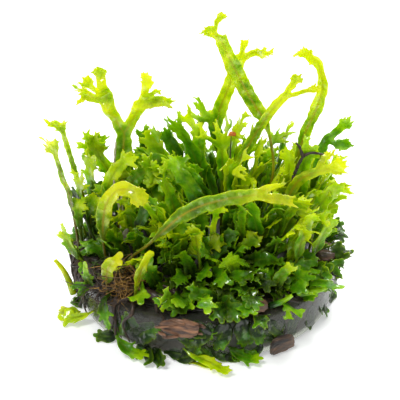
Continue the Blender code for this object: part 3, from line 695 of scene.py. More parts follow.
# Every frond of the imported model: node name, finish, tone, the way its upper side faces, blade width,
# stipe length, the points of its midrib from the root to the fork and one beyond it, and the arms of
# its crest.
FRONDS = (
    ("frond_forked_left", "leaf_light", 0.55, FRONT, 5.4, 9,
     ((-27.5, 2, 20.5), (-26.5, 4, 31), (-26, 6, 42), (-25.2, 6.5, 53), (-25, 7, 66)),
     (arm(-24, 13, 4.4, arm(-80, 5, 3.4, arm(-125, 5, 1.4), arm(-92, 4, 1.2), arm(-62, 5.5, 1.3),
      arm(-41, 6.5, 1.5), arm(-20, 4.5, 1.3)), arm(-38, 6, 2.2, arm(-62, 4, 1.2), arm(-38, 4.6, 1.2),
      arm(-16, 3.6, 1.1)), arm(-8, 7.5, 3, arm(-60, 3.3, 1.2), arm(-36, 3.8, 1.1), arm(-14, 4, 1.1),
      arm(6, 3.6, 1.1), arm(28, 3.7, 1.3))), arm(26, 11.5, 4, arm(18, 8, 2.6, arm(-32, 3.4, 1.1),
      arm(-12, 4.2, 1.1), arm(8, 5.2, 1.1), arm(28, 4.4, 1.1), arm(50, 3.8, 1)), arm(44, 6, 1.9,
      arm(26, 3.6, 1.1), arm(46, 4.6, 1.1), arm(66, 3.6, 1.1)), arm(72, 6.5, 2.8, arm(36, 3.8, 1.2),
      arm(60, 5, 1.3), arm(82, 5.4, 1.4), arm(110, 4.5, 1.4))))),
    ("frond_far_left", "leaf_light", 0.72, LEFT_FRONT, 2.3, 12,
     ((-39.8, -1.5, 15.8), (-41.8, -3, 35), (-44.3, -4, 45), (-45.5, -4, 51), (-47.3, -4, 57)),
     (arm(-60, 5.5, 1.3), arm(-25, 8, 1.6), arm(0, 6.5, 1.8), arm(25, 7, 1.8))),
    ("frond_far_left_thin", "leaf_light", 0.72, FRONT, 1.7, 16,
     ((-35.5, 8, 18.5), (-39.5, 7, 34), (-42.5, 6, 47), (-44, 6, 53.5), (-45.5, 6, 58)),
     (arm(-32, 7, 1.5), arm(-8, 5, 1.5), arm(28, 4.5, 1.5))),
    ("frond_left_fan", "fresh", 0.95, RIGHT_FRONT, 2.6, 9,
     ((-26.5, 10.5, 21), (-29, 10, 36), (-33, 9, 43.5), (-35.5, 8.5, 48)),
     (arm(-52, 5, 1.5), arm(-30, 7, 1.7), arm(-10, 8.5, 1.7), arm(8, 9, 1.8), arm(26, 9, 1.8),
      arm(46, 8, 1.7))),
    ("frond_left_lobed", "fresh", 1.05, LEFT_FRONT, 3.2, 7,
     ((-37.5, 4, 16), (-39.8, 2, 27), (-39.3, 1.5, 36), (-38.6, 1, 44)),
     (arm(-50, 4, 1.2), arm(-18, 7, 2), arm(15, 8, 2), arm(50, 5, 1.4))),
    ("frond_arched_left", "leaf_light", 0.72, UP_FRONT, 4.6, 8,
     ((-30.2, -14, 19), (-31.3, -15, 30.4), (-30, -16, 40.4), (-26.2, -17.5, 46.3), (-21.5, -19.5, 46.8),
      (-17.5, -21, 43.5)),
     (arm(-50, 3.4, 1.2), arm(-26, 4.6, 1.5), arm(-6, 5.4, 1.6), arm(14, 5.4, 1.6), arm(36, 5, 1.5),
      arm(60, 4, 1.3))),
    ("frond_long_front", "leaf_light", 0.72, FRONT, 4.6, 13,
     ((-23.6, -24, 24.8), (-16.7, -26, 33.2), (-8.3, -28, 43), (-1.9, -28.4, 47.2), (5.3, -28.5, 49.6),
      (14, -26.6, 50), (22, -23.5, 49)),
     (arm(-22, 6, 2.6, arm(-34, 4, 1.4), arm(-8, 4, 1.4)), arm(14, 8, 3, arm(-6, 4.5, 1.4),
      arm(24, 4.5, 1.4)))),
    ("frond_tall_centre", "leaf_light", 0.68, FRONT, 4.8, 24,
     ((18.5, 5, 28), (20.8, 5.5, 40), (20, 7.5, 49), (18, 8, 56), (13.2, 8, 64.5), (9.7, 8, 71.6),
      (6.7, 8, 78), (4.6, 8, 83), (3, 8, 86)),
     (arm(-15, 3.4, 2.6, arm(-84, 3.4, 1.1), arm(-60, 4.6, 1.2), arm(-40, 4, 1.1), arm(-22, 3.9, 1.2),
      arm(-2, 3.4, 1.1), arm(18, 3.5, 1.1), arm(38, 4.6, 1.4, arm(60, 3, 1.1), arm(100, 3.2, 1))),
      arm(55, 3, 1))),
    ("frond_crossing", "leaf_light", 0.68, FRONT, 3, 6,
     ((9.4, 2.5, 34), (9.8, 3, 44), (13.2, 3, 51), (16.6, 2, 58), (20.4, 2, 64), (23.2, 2, 67.4),
      (25.4, 2, 70)),
     (arm(-8, 5, 2.2, arm(-46, 3, 1.1), arm(-26, 4, 1.2), arm(-6, 4.6, 1.3), arm(16, 3.8, 1.2)),
      arm(27, 8, 1.8, arm(8, 3, 1.1), arm(30, 4.2, 1.2), arm(52, 3, 1.1)))),
    ("frond_tall_back", "leaf_light", 0.72, FRONT, 4.3, 12,
     ((6.5, 19.5, 29), (3, 20, 42), (3.8, 20, 52.2), (7.2, 20, 62.5), (10.4, 20, 71.5), (12.4, 20, 76)),
     (arm(-10, 4, 1.8, arm(-32, 2.6, 1), arm(6, 3, 1)), arm(38, 5, 2.6, arm(14, 3.4, 1.2),
      arm(32, 5.5, 1.4), arm(50, 6.4, 1.5), arm(70, 4.6, 1.3), arm(92, 3, 1.1)))),
    ("frond_tall_right", "leaf_light", 0.75, LEFT_FRONT, 3.8, 14,
     ((27, 8, 27), (28, 7.5, 42), (30.6, 6.2, 53.5), (33.4, 6, 61), (35.2, 6, 69), (33.6, 6, 76.6),
      (31, 6, 79.5)),
     (arm(-58, 3.5, 1.3), arm(-12, 3.4, 3.2, arm(-50, 4, 1.2), arm(-30, 5, 1.3), arm(-10, 4.4, 1.2),
      arm(10, 4.2, 1.2), arm(30, 4.2, 1.2), arm(52, 4.4, 1.2)))),
    ("frond_right_edge", "leaf_green", 0.2, FRONT, 3.2, 8,
     ((31, 3, 27), (34, 3, 41), (36.2, 3, 51.6), (39.5, 3, 54.3)),
     (arm(-8, 7, 2.6, arm(-52, 3, 1.1), arm(-34, 4, 1.2), arm(-16, 5, 1.2), arm(2, 5, 1.2),
      arm(20, 4, 1.2)), arm(38, 5, 2.6, arm(2, 3.2, 1.2), arm(20, 4, 1.2), arm(38, 4.4, 1.2),
      arm(58, 3.6, 1.2), arm(80, 2.8, 1)))),
    ("frond_right_yellow", "leaf_light", 1, UP_FRONT, 3.2, 9,
     ((21.5, -7.5, 27), (26.7, -9.5, 43.5), (32.4, -12, 49.2), (36.8, -12.5, 51.3)),
     (arm(-36, 4, 2, arm(-60, 3.6, 1.2), arm(-38, 4.6, 1.2), arm(-18, 5.6, 1.3)), arm(4, 4.5, 2.6,
      arm(-18, 5, 1.2), arm(-2, 6, 1.3), arm(14, 6.6, 1.3), arm(30, 5.6, 1.3), arm(48, 4, 1.2)))),
    ("frond_right_low", "fresh_green", 1.15, RIGHT_FRONT, 2.6, 8,
     ((31.6, -7.5, 18.5), (33.7, -9.2, 33), (37, -10.5, 40.5), (39.6, -11.5, 43.6)),
     fan(4, 0, 80, 5, 1.5)),
    ("frond_mid_crest", "fresh", 0.95, LEFT_FRONT, 2.6, 7,
     ((21, -13, 25.2), (22.6, -15.5, 34), (20.8, -17, 42), (19.3, -17.5, 47)),
     fan(6, 0, 130, 5.2, 1.4)),
    ("frond_right_inner", "fresh_green", 1, LEFT_FRONT, 4, 8,
     ((24.8, 0.5, 27), (25.4, 0, 38), (25.4, -0.5, 46), (25.6, -0.5, 51)),
     fan(4, -8, 75, 6, 1.8)),
    ("frond_right_broad", "leaf_green", 1, FRONT, 4.6, 9,
     ((29, -2.5, 24), (28.8, -4, 40), (30, -5, 50), (33, -5.5, 55.5)),
     (arm(-30, 5, 2, arm(-40, 3, 1), arm(-10, 3, 1)), arm(6, 6, 2.2), arm(40, 5, 1.8))),
    ("frond_forked_back", "leaf_green", 0.7, LEFT_FRONT, 5, 8,
     ((-0.5, 10, 30.5), (-4, 11.5, 43.5), (-7.5, 12, 50.2), (-9.7, 12, 55)),
     (arm(-44, 7.5, 2), arm(-14, 7, 2.2), arm(20, 8, 2))),
    ("frond_dark_crest", "leaf_green", 0.62, FRONT, 4, 9,
     ((8, 13.5, 29.5), (4.8, 15, 43), (2, 15.5, 52), (-1, 15.5, 57.5)),
     (arm(-38, 7.5, 1.8), arm(-8, 3.5, 2.4, arm(-18, 6, 1.5), arm(6, 7.5, 1.5)), arm(40, 5.5, 1.8))),
    ("frond_narrow_crest", "fresh", 0.62, FRONT, 3.4, 8,
     ((4.9, 2.8, 30.5), (5, 2, 42), (4.8, 1, 50.2), (4.7, 0.5, 55.5)),
     (arm(-42, 6, 2.4, arm(-70, 4, 1.2), arm(-26, 7, 1.4)), arm(-10, 11, 1.8), arm(10, 7, 1.6),
      arm(32, 6, 2.2, arm(18, 6, 1.3), arm(58, 5, 1.3)))),
    ("frond_broad_centre", "leaf_green", 0.42, LEFT_FRONT, 5.5, 8,
     ((2, -6.5, 29.8), (-0.4, -8.5, 40), (-4.6, -9, 46.5), (-9, -9, 52)),
     fan(5, 0, 95, 5, 2)),
    ("frond_broad_right", "leaf_green", 0.55, RIGHT_FRONT, 5, 6,
     ((10.2, -4.5, 29.8), (9, -5.2, 38), (8, -5.5, 45), (7.6, -5.5, 50)),
     fan(5, 0, 105, 5, 2)),
    ("frond_front_right", "leaf_green", 0.42, LEFT_FRONT, 5, 6,
     ((15.8, -16.3, 25.6), (15.2, -18.5, 33), (14.2, -19.5, 39.5), (13.6, -20, 44)),
     fan(4, 0, 80, 4.6, 2)),
    ("frond_right_front", "fresh_green", 1.05, RIGHT_FRONT, 4.6, 8,
     ((26.5, -19.5, 16.5), (28, -22, 30), (30, -23.5, 38.5), (32.4, -24, 43.5)),
     fan(4, 5, 80, 5, 1.8)),
    ("frond_right_side", "fresh_green", 1.1, RIGHT_FRONT, 4, 6,
     ((31, -13.5, 16.5), (34, -15, 26), (36.4, -16, 32.5), (38.8, -16.5, 36.5)),
     fan(4, 0, 85, 4.6, 1.8)),
    ("frond_right_short", "fresh", 1.2, RIGHT_FRONT, 3, 3.5,
     ((35.5, 3, 16), (38.2, 1.5, 20), (42.2, 0, 24.6)),
     fan(3, 0, 70, 4, 1.5)),
    ("frond_left_middle", "leaf_green", 0.6, LEFT_FRONT, 4, 4,
     ((-21.5, -10, 23.8), (-20, -10.5, 31), (-17.8, -11, 36.5), (-14, -11.5, 39.8)),
     fan(4, 0, 80, 4.4, 1.6)),
    ("frond_left_inner", "leaf_green", 0.6, FRONT, 4.6, 5,
     ((-20.5, 5.5, 24.8), (-20, 6.5, 33), (-17, 7.5, 38.5), (-12.5, 7.5, 41)),
     fan(3, 0, 60, 5, 2)),
    ("frond_behind_left", "leaf_green", 0.42, RIGHT_FRONT, 5, 6,
     ((-15, 16, 25.8), (-17, 17, 36), (-19.3, 17.5, 44.5), (-21, 18, 49.5)),
     (arm(-20, 5, 2.2), arm(22, 5, 2.2))),
    ("frond_behind_centre", "leaf_green", 0.42, LEFT_BACK, 4.4, 6,
     ((-6, 18.5, 28.5), (-9, 19.5, 38), (-11.8, 20, 43.5), (-14, 20, 47)),
     fan(4, 0, 80, 4.4, 1.8)),
    ("frond_middle_left", "fresh_green", 1.05, LEFT_FRONT, 4, 5,
     ((-2, -22.6, 24.2), (-2.6, -23.4, 29.5), (-3.2, -24, 34.5), (-3.8, -24.4, 39)),
     fan(5, 0, 110, 4.2, 1.6)),
    ("frond_middle_front", "leaf_green", 0.9, UP_FRONT, 4, 4,
     ((8.5, -25.5, 20.3), (7.6, -28, 26.5), (7, -29.5, 31.5)),
     fan(5, 0, 120, 5.4, 1.7)),
    ("leaf_spoon", "leaf_light", 1.1, LEFT_FRONT, 4.4, 5,
     ((-29.8, -27, 15.6), (-29.6, -28.5, 23.5), (-28, -30, 28.5), (-23.5, -31, 32)),
     (arm(-14, 4, 2.6), arm(20, 3.4, 2.2))),
    ("leaf_front_light", "leaf_light", 1.15, RIGHT_FRONT, 3, 5,
     ((-21.8, -31.5, 15.7), (-19.6, -33, 27), (-17.3, -34, 33.2), (-14.6, -34.6, 37.6)),
     (arm(-16, 3, 1.6), arm(18, 2.6, 1.5))),
    ("leaf_front_lobed", "fresh", 0.95, UP_FRONT, 3.4, 2,
     ((-6.5, -34.5, 15.9), (-10.5, -37, 19.8), (-14.5, -38.6, 21.4)),
     (arm(-40, 4, 2), arm(0, 4, 2), arm(48, 4.5, 2))),
    ("leaf_front_flat", "leaf_green", 0.72, UP_FRONT, 4.4, 2,
     ((4, -33.5, 15.9), (-1.5, -35.5, 21.3), (-6.4, -37, 24.6)),
     (arm(-30, 3.6, 2.2), arm(8, 5.5, 2.4))),
    ("leaf_streaked", "fresh", 0.8, FRONT, 3.6, 3,
     ((20.5, -27.5, 15.8), (21.3, -29, 21.8), (23.4, -30, 26), (26, -30.5, 29)),
     (arm(-24, 3.6, 1.8), arm(22, 3.8, 1.8))),
    ("leaf_left_crest", "fresh", 1.3, LEFT_FRONT, 3.4, 3,
     ((-38.2, -9, 15.8), (-41, -9.5, 20.5), (-43, -9.8, 24.2), (-44.8, -10, 28)),
     fan(3, 0, 60, 4.6, 1.8)),
    ("leaf_front_dark", "leaf_dark", 0.2, UP_FRONT, 4.6, 1.5,
     ((11, -31.5, 15.9), (10.3, -34, 19.8), (9.8, -36.2, 22)),
     fan(3, 0, 70, 3.6, 2.2)),
    ("frond_back_left", "leaf_green", 0.42, LEFT_BACK, 4.2, 4,
     ((-20.5, 23, 16), (-22.5, 26.5, 23), (-24, 29, 27)),
     fan(4, 0, 90, 4.6, 1.8)),
    ("frond_back", "leaf_green", 0.42, BACK, 4.8, 4,
     ((-9.4, 31, 16.5), (-10.4, 33.2, 26), (-11.2, 34.7, 31)),
     fan(4, 0, 90, 5, 2)),
    ("frond_back_middle", "leaf_green", 0.42, BACK, 4.8, 4,
     ((5, 33.6, 16), (5.6, 36, 25), (6.4, 38, 30.5)),
     fan(4, 0, 90, 5, 2)),
    ("frond_back_right", "leaf_green", 0.42, RIGHT_BACK, 4.8, 4,
     ((19.6, 28.4, 18.5), (21.8, 30.8, 27), (23.2, 32.5, 31.5)),
     fan(4, 0, 90, 5, 2)),
    ("frond_right_back", "leaf_green", 0.42, RIGHT_BACK, 4.4, 4,
     ((31.5, 16.5, 17), (34.5, 18.5, 25.5), (36.6, 20, 30)),
     fan(4, 0, 90, 4.6, 1.8)),
    ("floor_leaf_left", "leaf_light", 2, LEVEL, 3.8, 1.5,
     ((-39.6, -14.2, 0.8), (-42.6, -14.2, 0.8), (-45.4, -13.6, 0.8)),
     (arm(-28, 3.2, 2), arm(4, 3.8, 2.2), arm(34, 3.2, 2))),
    ("floor_leaf_front", "leaf_light", 2, LEVEL, 2, 2,
     ((-5.2, -41, 0.8), (2.2, -43.6, 0.8), (8, -46.4, 0.8)),
     (arm(-16, 2.6, 1), arm(14, 2.8, 1.1))),
)

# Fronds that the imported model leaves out, between its own. The columns are the same.
MORE_FRONDS = (
    ("palm_left", "fresh", 0.95, FRONT, 3.2, 14,
     ((-27.9, 9, 16), (-29.6, 9, 34.9), (-31.9, 9, 40.3), (-34, 9, 44.6), (-35.2, 9, 48.1)),
     (arm(-66, 4.5, 1.8), arm(-34, 7, 2), arm(-8, 9, 2.2), arm(16, 8, 2), arm(48, 6, 1.8), arm(84, 5, 1.6))),
    ("slant_upper", "fresh", 0.62, UP_FRONT, 4.2, 10,
     ((-6.4, 9, 15.5), (-9.2, 10, 30), (-12.9, 10, 41.5), (-16.8, 10, 46.9), (-19.9, 10, 50.4)),
     (arm(-20, 4.5, 2.2), arm(18, 5.5, 2.2))),
    ("slant_middle", "fresh", 0.55, UP_FRONT, 4.4, 10,
     ((-5.7, 6, 15.5), (-8.8, 7, 33.9), (-13.4, 7, 41.8), (-17.7, 7, 44.2), (-21.4, 7, 45.7)),
     (arm(-16, 4, 2.2), arm(20, 4.5, 2.2))),
    ("slant_lower", "fresh", 0.5, UP_FRONT, 4, 10,
     ((-4.4, 3, 15.5), (-5.6, 2, 34.6), (-9.9, 1, 40.5), (-15.1, 0, 40.3), (-19.4, -1, 39.5)),
     (arm(-26, 4, 1.8), arm(0, 4.6, 2), arm(26, 4, 1.8))),
    ("dark_left", "leaf_green", 0.5, LEFT_FRONT, 2.6, 9,
     ((-29, 0, 15.5), (-30.6, 0, 27.5), (-31.9, 0, 34.3), (-32.7, 0, 38.6)),
     fan(4, 0, 110, 5, 1.8)),
    ("broad_front", "leaf_green", 0.62, FRONT, 5.2, 10,
     ((1.2, -6, 16), (-1, -8, 33.3), (-4.3, -9, 41.6), (-8.5, -9, 49.2), (-10.4, -9, 52.4)),
     (arm(-58, 6, 2.2), arm(-26, 5.5, 2.2), arm(2, 4.5, 2.4), arm(34, 4.5, 2.2), arm(70, 5, 2))),
    ("strap_right_front", "fresh", 0.95, FRONT, 4.4, 7,
     ((13.5, -12, 15), (18.1, -14, 29.8), (22.1, -15, 36.7), (25, -16, 39.4), (27.1, -16, 40.4)),
     (arm(-48, 4, 1.6), arm(-16, 4.5, 2), arm(16, 6, 2), arm(44, 7, 2))),
    ("strap_right_long", "fresh", 1.1, FRONT, 4.4, 8,
     ((25, -6, 14.5), (29.4, -9, 25.7), (33.8, -11, 36.4), (37.4, -12, 42.6), (39, -12, 44.1)),
     (arm(-26, 4, 1.6), arm(6, 5.5, 1.8), arm(34, 5, 1.6))),
    ("strap_right_low", "fresh", 1.15, FRONT, 3.8, 5,
     ((28.4, 1, 15), (33.1, -2, 20.5), (36.4, -3, 26.5), (38, -4, 31.4), (38.8, -4, 33.6)),
     (arm(-30, 4, 1.6), arm(4, 4.5, 1.6), arm(32, 3.6, 1.6))),
    ("strap_right_upright", "fresh", 1.05, FRONT, 3.4, 7,
     ((29.2, 4, 15.9), (31.3, 4, 27), (33, 4, 34.2), (34.1, 4, 38.5)),
     fan(3, 0, 60, 4.6, 1.6)),
    ("strap_right_back", "fresh", 0.95, LEFT_FRONT, 4.2, 9,
     ((22, 8, 15.4), (24, 8, 28.3), (26.2, 8, 37.3), (28.6, 8, 43.3), (29.8, 8, 46)),
     (arm(-50, 5, 1.8), arm(-18, 6, 2), arm(14, 7, 2), arm(46, 5.5, 1.8))),
    ("brown_stem_left", "leaf_dark", 0.4, LEFT_FRONT, 2.2, 14,
     ((-31.8, -4, 14.5), (-34.7, -3, 20.2), (-37.6, -2, 27.6), (-39.9, -1, 33.5), (-40.9, -1, 36.4)),
     fan(3, 0, 70, 5, 1.6)),
    ("lobed_left", "leaf_green", 0.7, LEFT_FRONT, 3.6, 3,
     ((-30.9, -12, 15.5), (-32.6, -13, 22), (-34.6, -14, 24.4), (-35.9, -14, 25.1)),
     fan(3, -10, 110, 3.4, 2)),
    ("round_left", "leaf_green", 0.6, FRONT, 4, 9,
     ((-33, 2, 14.6), (-35, 2, 20.1), (-36.3, 2, 26.7), (-37, 2, 29)),
     (arm(-10, 4.6, 3.4), )),
    ("lance_left", "fresh", 0.8, FRONT, 3.8, 6,
     ((-22.6, -4, 14.7), (-22.8, -4, 21.5), (-23.5, -4, 29.8), (-24, -4, 32.8)),
     (arm(4, 5, 2.6), )),
    ("pale_left", "fresh", 0.8, LEFT_FRONT, 3, 2,
     ((-34, -23, 14.6), (-35.2, -24.4, 18), (-36, -25, 21), (-36.2, -25, 23)),
     (arm(0, 4, 2.4), )),
    ("crest_behind_root_ball", "leaf_green", 0.66, FRONT, 3, 4,
     ((-20.4, -12, 16.8), (-20.8, -14, 24.1), (-21.3, -15, 28.2), (-21.7, -15.6, 30.2)),
     fan(4, 0, 110, 4.4, 1.8)),
    ("lobed_behind_light", "leaf_green", 0.5, RIGHT_FRONT, 4.2, 2,
     ((-14, -24, 14.6), (-16, -27, 21.5), (-17.7, -28, 25.7), (-18.8, -28, 27.2)),
     fan(3, 10, 90, 3.6, 2.4)),
    ("dark_strap_one", "leaf_green", 0.3, UP_FRONT, 3.8, 3,
     ((-14.8, -18, 14.6), (-10.4, -19, 21.1), (-5.5, -19, 25.7), (-2.6, -19, 27.5)),
     fan(3, 0, 60, 4.4, 2)),
    ("dark_strap_two", "leaf_green", 0.38, UP_FRONT, 4.2, 3,
     ((-17.3, -14, 14.6), (-12.6, -14, 23.3), (-8, -14, 29.8), (-5.4, -14, 32.1)),
     fan(3, 0, 60, 4.6, 2.2)),
    ("dark_strap_three", "leaf_green", 0.3, UP_FRONT, 4, 4,
     ((-5, -20, 14.6), (0.5, -20, 22.8), (5.9, -19, 30), (8.8, -18.4, 32.6)),
     fan(3, 0, 60, 4.6, 2)),
    ("dark_strap_four", "leaf_green", 0.34, UP_FRONT, 4, 5,
     ((0.4, -14, 14.6), (6, -14, 20.5), (12.1, -12.6, 28.6), (15.3, -12, 32.8)),
     fan(4, 0, 80, 4.6, 1.8)),
    ("inner_left_strap", "leaf_green", 0.6, FRONT, 3.6, 5,
     ((-6.3, -10, 14.6), (-3.2, -10, 21.6), (-1.9, -9, 29.2), (-2.3, -8.2, 33.7)),
     fan(4, 0, 90, 5, 1.8)),
    ("brown_back_stem", "leaf_dark", 0.45, FRONT, 1.8, 12,
     ((-25.7, 8, 14.6), (-26.8, 8, 19.1), (-29.1, 8, 26.4), (-32.1, 8, 30.4), (-33.9, 8, 31.5)),
     fan(3, 0, 80, 4, 1.6)),
    ("cross_left", "fresh", 0.9, FRONT, 4.2, 3,
     ((-25.6, 3, 31), (-22.6, 2, 38.6), (-17.9, 1, 43), (-13.5, 0, 46)),
     fan(4, 0, 100, 5, 1.8)),
    ("pointed_left", "fresh", 1.15, LEFT_FRONT, 3.2, 3,
     ((-38.6, -8, 14.6), (-41.2, -10, 20.3), (-43, -10.6, 26.7), (-43.8, -11, 29.8)),
     (arm(4, 4, 1.8), )),
    ("pointed_left_low", "fresh", 1.1, LEFT_FRONT, 3, 3,
     ((-37.2, -8, 14.6), (-39.8, -9, 19.2), (-41.9, -10, 23.4), (-42.4, -10, 25.2)),
     (arm(-16, 4, 1.6), arm(18, 3, 1.4))),
    ("upright_left", "fresh", 0.95, FRONT, 2.8, 8,
     ((-34.9, 0, 14.6), (-36.3, 0, 21.2), (-35.4, 0, 31.5), (-33.9, 0, 36)),
     fan(4, 10, 120, 4.4, 1.7)),
    ("edge_left", "fresh", 0.85, FRONT, 2.4, 10,
     ((-37, -3, 14.6), (-38.9, -3, 21.2), (-39.4, -3, 31.8), (-37.9, -3, 35.7)),
     fan(3, 10, 110, 4.4, 1.6)),
    ("thin_left", "leaf_dark", 0.7, FRONT, 2, 12,
     ((-30.4, 3, 15.5), (-32, 3, 25.7), (-33.6, 3, 34.7), (-34.9, 3, 38)),
     fan(3, -10, 90, 4, 1.5)),
    ("inner_upright", "leaf_green", 0.7, FRONT, 3.4, 8,
     ((-21, 4, 15), (-20.8, 4, 27), (-18.9, 4, 37), (-16.4, 4, 41.6)),
     fan(4, 0, 110, 4.8, 1.8)),
    ("inner_slant", "leaf_green", 0.8, FRONT, 3.2, 8,
     ((-17.8, 2, 14.6), (-16.9, 2, 26.3), (-14.3, 2, 37.1), (-11.4, 2, 41.7)),
     fan(3, 0, 90, 5, 1.8)),
    ("lobed_left_front", "leaf_green", 0.7, LEFT_FRONT, 4.4, 2,
     ((-28, -9, 15), (-28.9, -12, 21.1), (-30.3, -14, 25), (-31, -15, 26.8)),
     fan(4, 0, 120, 3.6, 1.9)),
    ("bright_crest_one", "fresh", 1.1, FRONT, 2.6, 5,
     ((-5, -16, 18.3), (-2.5, -18, 24.8), (1.7, -20, 29), (4.3, -20, 30.2)),
     fan(4, 0, 110, 4.6, 1.6)),
    ("bright_crest_two", "fresh", 1.15, FRONT, 2.2, 5,
     ((-9.3, -16, 15.4), (-7.1, -18, 22), (-4.3, -20, 26.5), (-2.9, -20, 27.9)),
     fan(3, 0, 90, 4.2, 1.5)),
    ("bright_crest_three", "fresh", 1, FRONT, 2.8, 5,
     ((6, -16, 18.3), (9.6, -18, 25.5), (13.1, -19, 29.4), (14.9, -19, 31)),
     fan(4, 0, 110, 4.4, 1.7)),
    ("floor_strap_front", "fresh", 2.1, UP, 3.2, 1,
     ((-6.7, -39.6, 5), (-3.1, -41.6, 3.4), (1.6, -44, 2.4), (4.2, -46, 2), (6, -47.4, 1.9)),
     fan(4, 0, 80, 3.6, 1.4)),
    ("floor_leaf_middle", "leaf_green", 1.6, UP, 3.6, 1,
     ((-27, -33.4, 4.8), (-23.8, -37.2, 2.8), (-20.5, -38.6, 2), (-18.5, -39, 1.9)),
     fan(3, 0, 110, 3.2, 1.9)),
    ("floor_fan_left", "fresh", 2.2, UP, 3, 2.5,
     ((-34.5, -20.5, 5.4), (-37.5, -20.4, 3.6), (-40.6, -20, 2.4), (-42.4, -19.6, 2.2)),
     fan(3, 0, 76, 4.4, 2.6)),
    ("floor_leaf_right", "leaf_green", 1.1, UP, 3.4, 1,
     ((6.5, -39.8, 6), (9.5, -41, 3.4), (13, -41.2, 2.2), (14.8, -41.2, 2)),
     fan(3, 0, 80, 3.2, 1.9)),
    ("strap_mid_left", "fresh", 0.95, FRONT, 4.2, 6,
     ((-30.5, 1, 16), (-31.5, 1, 30), (-29.5, 0, 40), (-25.5, -1, 46.5), (-22.5, -1.5, 49.5)),
     (arm(-40, 4.5, 1.6), arm(-12, 6, 1.8), arm(14, 6, 1.8), arm(42, 5, 1.6))),
    ("lobed_mid_left", "fresh", 0.85, LEFT_FRONT, 3.8, 6,
     ((-33.5, 6, 16), (-35.5, 6, 32), (-36, 5, 42), (-34.5, 4, 46)),
     fan(5, 0, 130, 5.2, 1.7)),
    ("hanging_left", "leaf_green", 1, LEFT_FRONT, 3.2, 2,
     ((-28.8, -28.4, 16.9), (-30.6, -31.8, 16.4), (-30.2, -34.4, 12.8), (-28.4, -35.8, 7.6)),
     (arm(0, 4, 2.2), )),
)

# Leaves pressed to the puck's wall or lying just inside it: angle round the puck, height, aim, length,
# width, depth outside the wall, tone, and the crest as a fan's count, middle, spread, length and width.
WALL_LEAVES = (
    (-124, 3, 10, 9, 6.5, -0.3, 0.9, 3, 0, 90, 3.4, 2.6),
    (-130, 9, 160, 8, 5, -1.3, 0.36, 3, 0, 80, 3, 2.2), (-117, 5, 200, 8, 5, -0.3, 0.7, 4, 0, 110, 3, 2.2),
    (-133, 1, 215, 6, 3.6, 0.5, 0.45, 3, 0, 90, 2.6, 1.8),
    (-121, 3.5, 15, 10, 6.4, 0.3, 0.5, 3, 0, 90, 3.4, 2.6),
    (-126, 11, 195, 8, 4.6, 0.3, 0.6, 3, 0, 90, 3, 2),
    (-113, 1.5, 150, 8, 4.4, 0.6, 0.7, 3, 0, 100, 2.8, 2),
    (-104, 1, 85, 9, 3.8, 0.9, 0.6, 3, 0, 70, 2.8, 2),
    (-101, 12.5, 170, 6, 3.6, 0.4, 0.45, 3, 0, 90, 2.6, 1.8),
    (-80, 3, 110, 8, 3.6, 0.8, 0.8, 3, 0, 60, 2.8, 1.8),
    (-118, 0.8, 120, 9, 3.6, 0.6, 0.3, 2, 0, 50, 2.6, 2),
    (-108, 1.5, 75, 9, 3.4, 0.5, 0.3, 3, 0, 70, 2.6, 1.8),
    (-99, 1.5, 20, 7, 3.4, 0.6, 0.55, 2, 0, 40, 2.4, 2), (-94, 8, 165, 9, 3.4, 0.4, 0.5, 2, 10, 50, 3, 1.6),
    (-88, 5, 150, 9, 3.2, 0.5, 0.45, 2, 0, 50, 2.6, 1.6),
    (-84, 1.2, 95, 9, 3, 0.7, 0.42, 2, 0, 50, 2.4, 1.6),
    (-91, 14, 190, 7, 5.6, 0.3, 0.3, 4, 0, 120, 3, 2.4),
    (-84, 14.6, 165, 7.5, 6.2, 0.4, 0.34, 4, 0, 130, 3.2, 2.4),
    (-77, 15.4, 150, 9, 6, 0.4, 0.34, 4, 0, 120, 3.6, 2.6),
    (-70, 14.8, 175, 8, 5.4, 0.5, 0.36, 4, 0, 130, 3.4, 2.4),
    (-98, 15, 140, 8, 4.8, 0.3, 0.4, 3, 0, 100, 3, 2.2), (-64, 14, 160, 10, 3.6, 0.3, 0.38, 3, 0, 80, 3, 2),
    (-74, 6.5, 185, 8, 4.6, -0.8, 0.36, 3, 0, 70, 3, 2.2),
    (-67, 4, 200, 5, 4.2, 0.3, 0.3, 2, 0, 60, 2.4, 2.2),
    (-56, 12, 195, 8, 3.8, -0.5, 0.4, 3, 0, 70, 3, 1.8),
    (-47, 13, 200, 10, 4, -1.4, 0.45, 3, 0, 70, 3.4, 2.2),
    (-38, 10, 190, 9, 6, -0.9, 0.48, 3, 0, 80, 3.4, 2.6),
    (-30, 11, 170, 9, 5, -0.6, 0.52, 3, 0, 80, 3.6, 2.2),
    (-24, 5, 160, 5, 3.6, 0.2, 0.55, 2, 0, 60, 3, 1.8),
    (-141, 12, 190, 9, 2.6, 0.3, 0.5, 2, 0, 40, 2.4, 1.4),
    (-152, 12, 170, 8, 3.4, -1, 0.4, 3, 0, 80, 3, 1.8),
)

